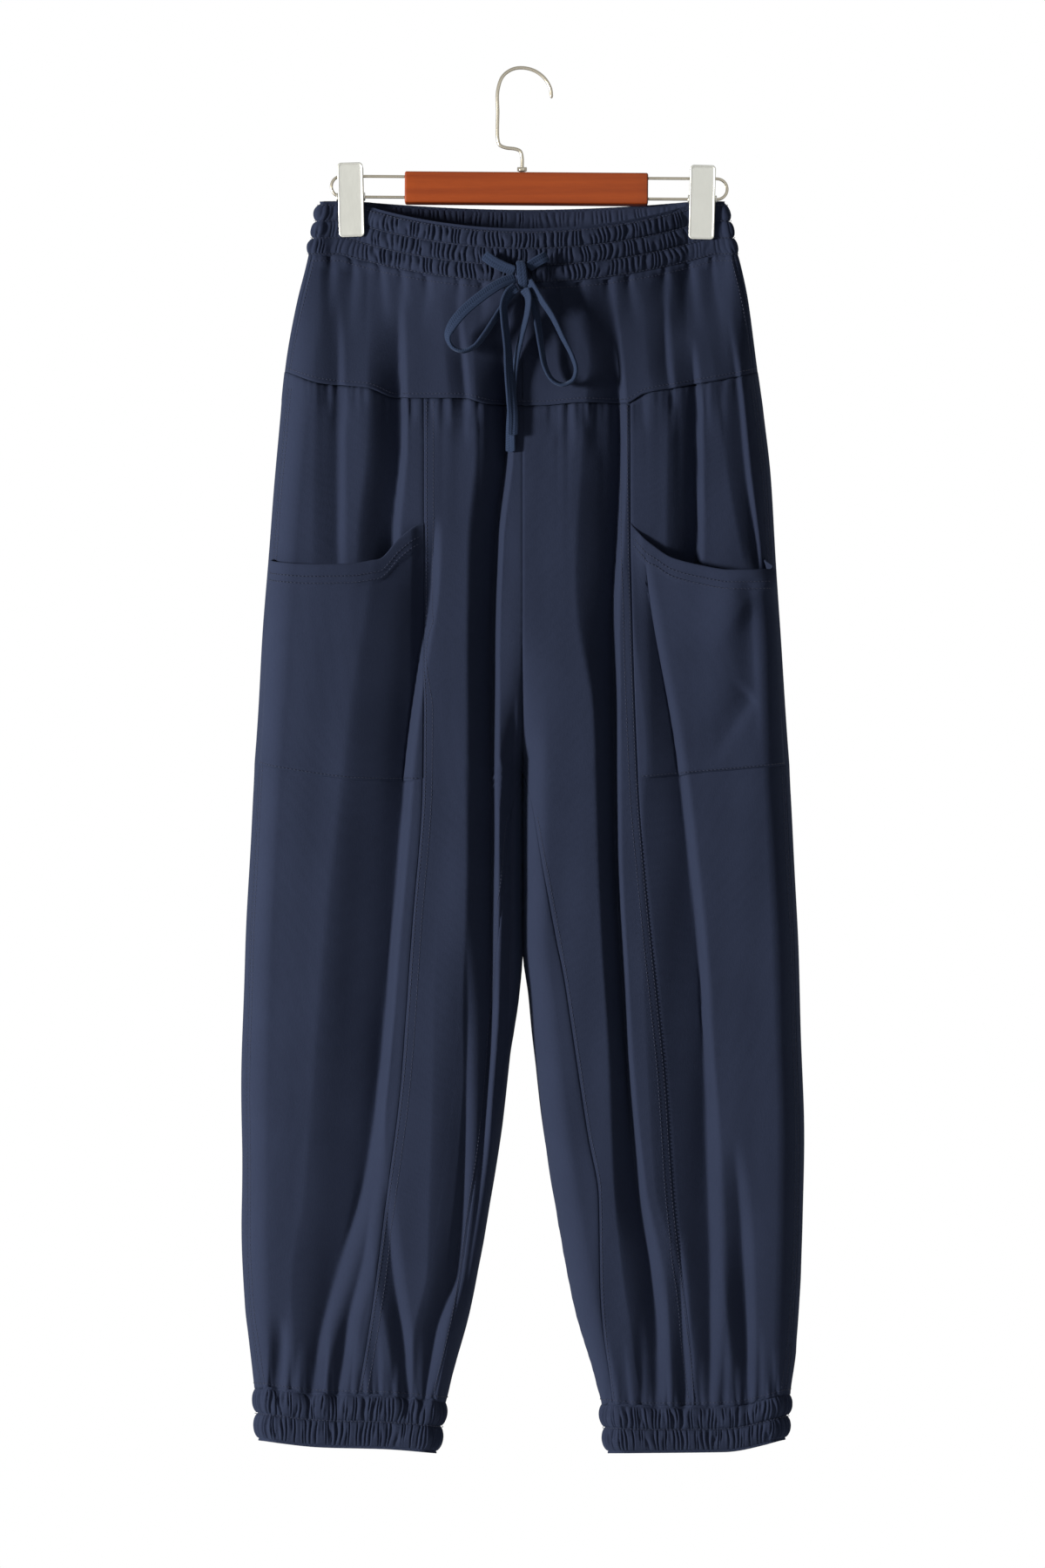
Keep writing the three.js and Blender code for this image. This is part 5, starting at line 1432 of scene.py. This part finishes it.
def add_clip(side, word):
    """A clip: two plates, a pair of cheeks as one mesh, and the spring, a coil along X."""
    for face in ("front", "back"):
        name = f"clip_{word}_{face}"
        rings = place_on_clip(plate_points(face == "back"), side)
        faces = grid_faces(*rings.shape[:2], ring=True)
        cover(make_mesh(name, rings.reshape(-1, 3), faces, PLATE_FINISH), "plate", name)
    cheeks = np.stack([cheek_points(-CHEEK_OFFSET), cheek_points(CHEEK_OFFSET)])
    points = place_on_clip(cheeks, side).reshape(-1, 3)
    faces = grid_faces(len(CHEEK_PROFILE), CHEEK_SIDES, ring=True, loop=True)
    faces = np.vstack([faces, faces + len(points) // 2])
    cover(make_mesh(f"clip_{word}_cheeks", points, faces, PLATE_FINISH), "plate")
    t = np.linspace(0, 1, SPRING["turns"] * 22)
    angle = 2 * np.pi * SPRING["turns"] * t
    outwards = np.stack([0 * angle, np.cos(angle), np.sin(angle)], -1)
    along = CLIP_X[side] - side * SPRING["inward"] + (t - 0.5) * SPRING["length"]
    drop = WIRE_LOWER_DOWN + bar_drop(CLIP_X[side])
    coil = SPRING["radius"] * outwards + np.stack([along, 0 * t, 0 * t - drop], -1)
    across = np.cross(unit(np.gradient(coil, axis=0)), outwards)
    taper = round_taper(len(coil), 0.65, 0.4)
    rings = swept(coil, across, outwards, 8, SPRING["wire"], SPRING["wire"], taper)
    name = f"clip_{word}_spring"
    cover(tube_mesh(name, rings, STEEL_FINISH), "steel", name)


def add_hanger():
    """The bar, the hook and its nut, and on each side a wire and a clip."""
    add_bar()
    wire_tube("hanger_hook", HOOK_ROUTE, HOOK_WIRE, 2.6)
    add_nut()
    for side, word in ((LEFT, "left"), (RIGHT, "right")):
        add_wire(side, f"hanger_wire_{word}")
        add_clip(side, word)


add_hanger()

# ---------- floor and light ----------

# In metres.
FLOOR_DOWN = 1.9
FLOOR_RADIUS = 2.4
# How strongly the room lights from the front and from behind, and how it shows in shiny things.
ROOM_FRONT, ROOM_BACK, ROOM_SHINE = 0.045, 0.7, 0.6


def add_floor():
    """A round, pale floor far below the hem."""
    angle = np.linspace(0, 2 * np.pi, 64, endpoint=False)
    radius = np.array([0.0002, 0.5, 1.0, 1.7, FLOOR_RADIUS])[:, None] / MM
    height = np.full((5, 64), -FLOOR_DOWN / MM)
    points = np.stack([radius * np.cos(angle), radius * np.sin(angle), height], -1).reshape(-1, 3)
    made = Finish("pale_floor", Roughness=0.8)
    made.set(Base_Color=made.noise(made.object_place(), 3).blend((0.8, 0.8, 0.8), (0.84, 0.84, 0.84)))
    make_mesh("floor", points, grid_faces(5, 64, ring=True), made.material)


def add_area_light(name, place, aim, size, power, colour):
    """A round lamp that faces the point that it is aimed at. The camera doesn't see it."""
    data = bpy.data.lights.new(name, "AREA")
    data.shape = "DISK"
    data.size = size
    data.energy = power
    data.color = colour
    light = bpy.data.objects.new(name, data)
    light.location = place
    towards = np.array(aim, float) - np.array(place, float)
    flat = math.hypot(towards[0], towards[1])
    heading = math.atan2(towards[1], towards[0])
    light.rotation_euler = (math.atan2(flat, -towards[2]), 0, heading - math.pi / 2)
    light.visible_camera = False
    bpy.context.collection.objects.link(light)


def add_world():
    """A white room. Seen straight it is white. It lights the object mostly from behind, as a lit white
    backdrop does, and shines more in metal and varnish."""
    world = bpy.data.worlds.new("studio")
    world.use_nodes = True
    tree = world.node_tree
    tree.nodes.clear()

    def add(kind, settings, inputs):
        node = tree.nodes.new(kind)
        for key, value in settings.items():
            setattr(node, key, value)
        for key, value in inputs.items():
            if isinstance(value, bpy.types.NodeSocket):
                tree.links.new(value, node.inputs[key])
            else:
                node.inputs[key].default_value = value
        return node.outputs

    def between(share, low, high):
        return add("ShaderNodeMapRange", {}, {"Value": share, "To Min": low, "To Max": high})[0]

    rays = add("ShaderNodeLightPath", {}, {})
    towards = add("ShaderNodeTexCoord", {}, {})["Generated"]
    behind = add("ShaderNodeSeparateXYZ", {}, {"Vector": towards})["Y"]
    lit = add("ShaderNodeMapRange", {}, {"Value": behind, "From Min": -0.1, "From Max": 0.5,
                                         "To Min": ROOM_FRONT, "To Max": ROOM_BACK})[0]
    shine = between(rays["Is Glossy Ray"], lit, ROOM_SHINE)
    level = between(rays["Is Camera Ray"], shine, 1.0)
    room = add("ShaderNodeBackground", {}, {"Color": (1, 1, 1, 1), "Strength": level})[0]
    add("ShaderNodeOutputWorld", {}, {"Surface": room})
    bpy.context.scene.world = world


add_floor()
add_world()
add_area_light("key", (-2.65, -1.7, -0.35), (0, 0, -0.6), 0.6, 182, (1, 0.985, 0.96))
add_area_light("fill", (0.9, -3.0, 0.6), (0, 0, -0.6), 2.2, 9, (0.93, 0.96, 1))
bpy.context.scene.view_settings.view_transform = "Standard"
bpy.context.scene.view_settings.look = "None"
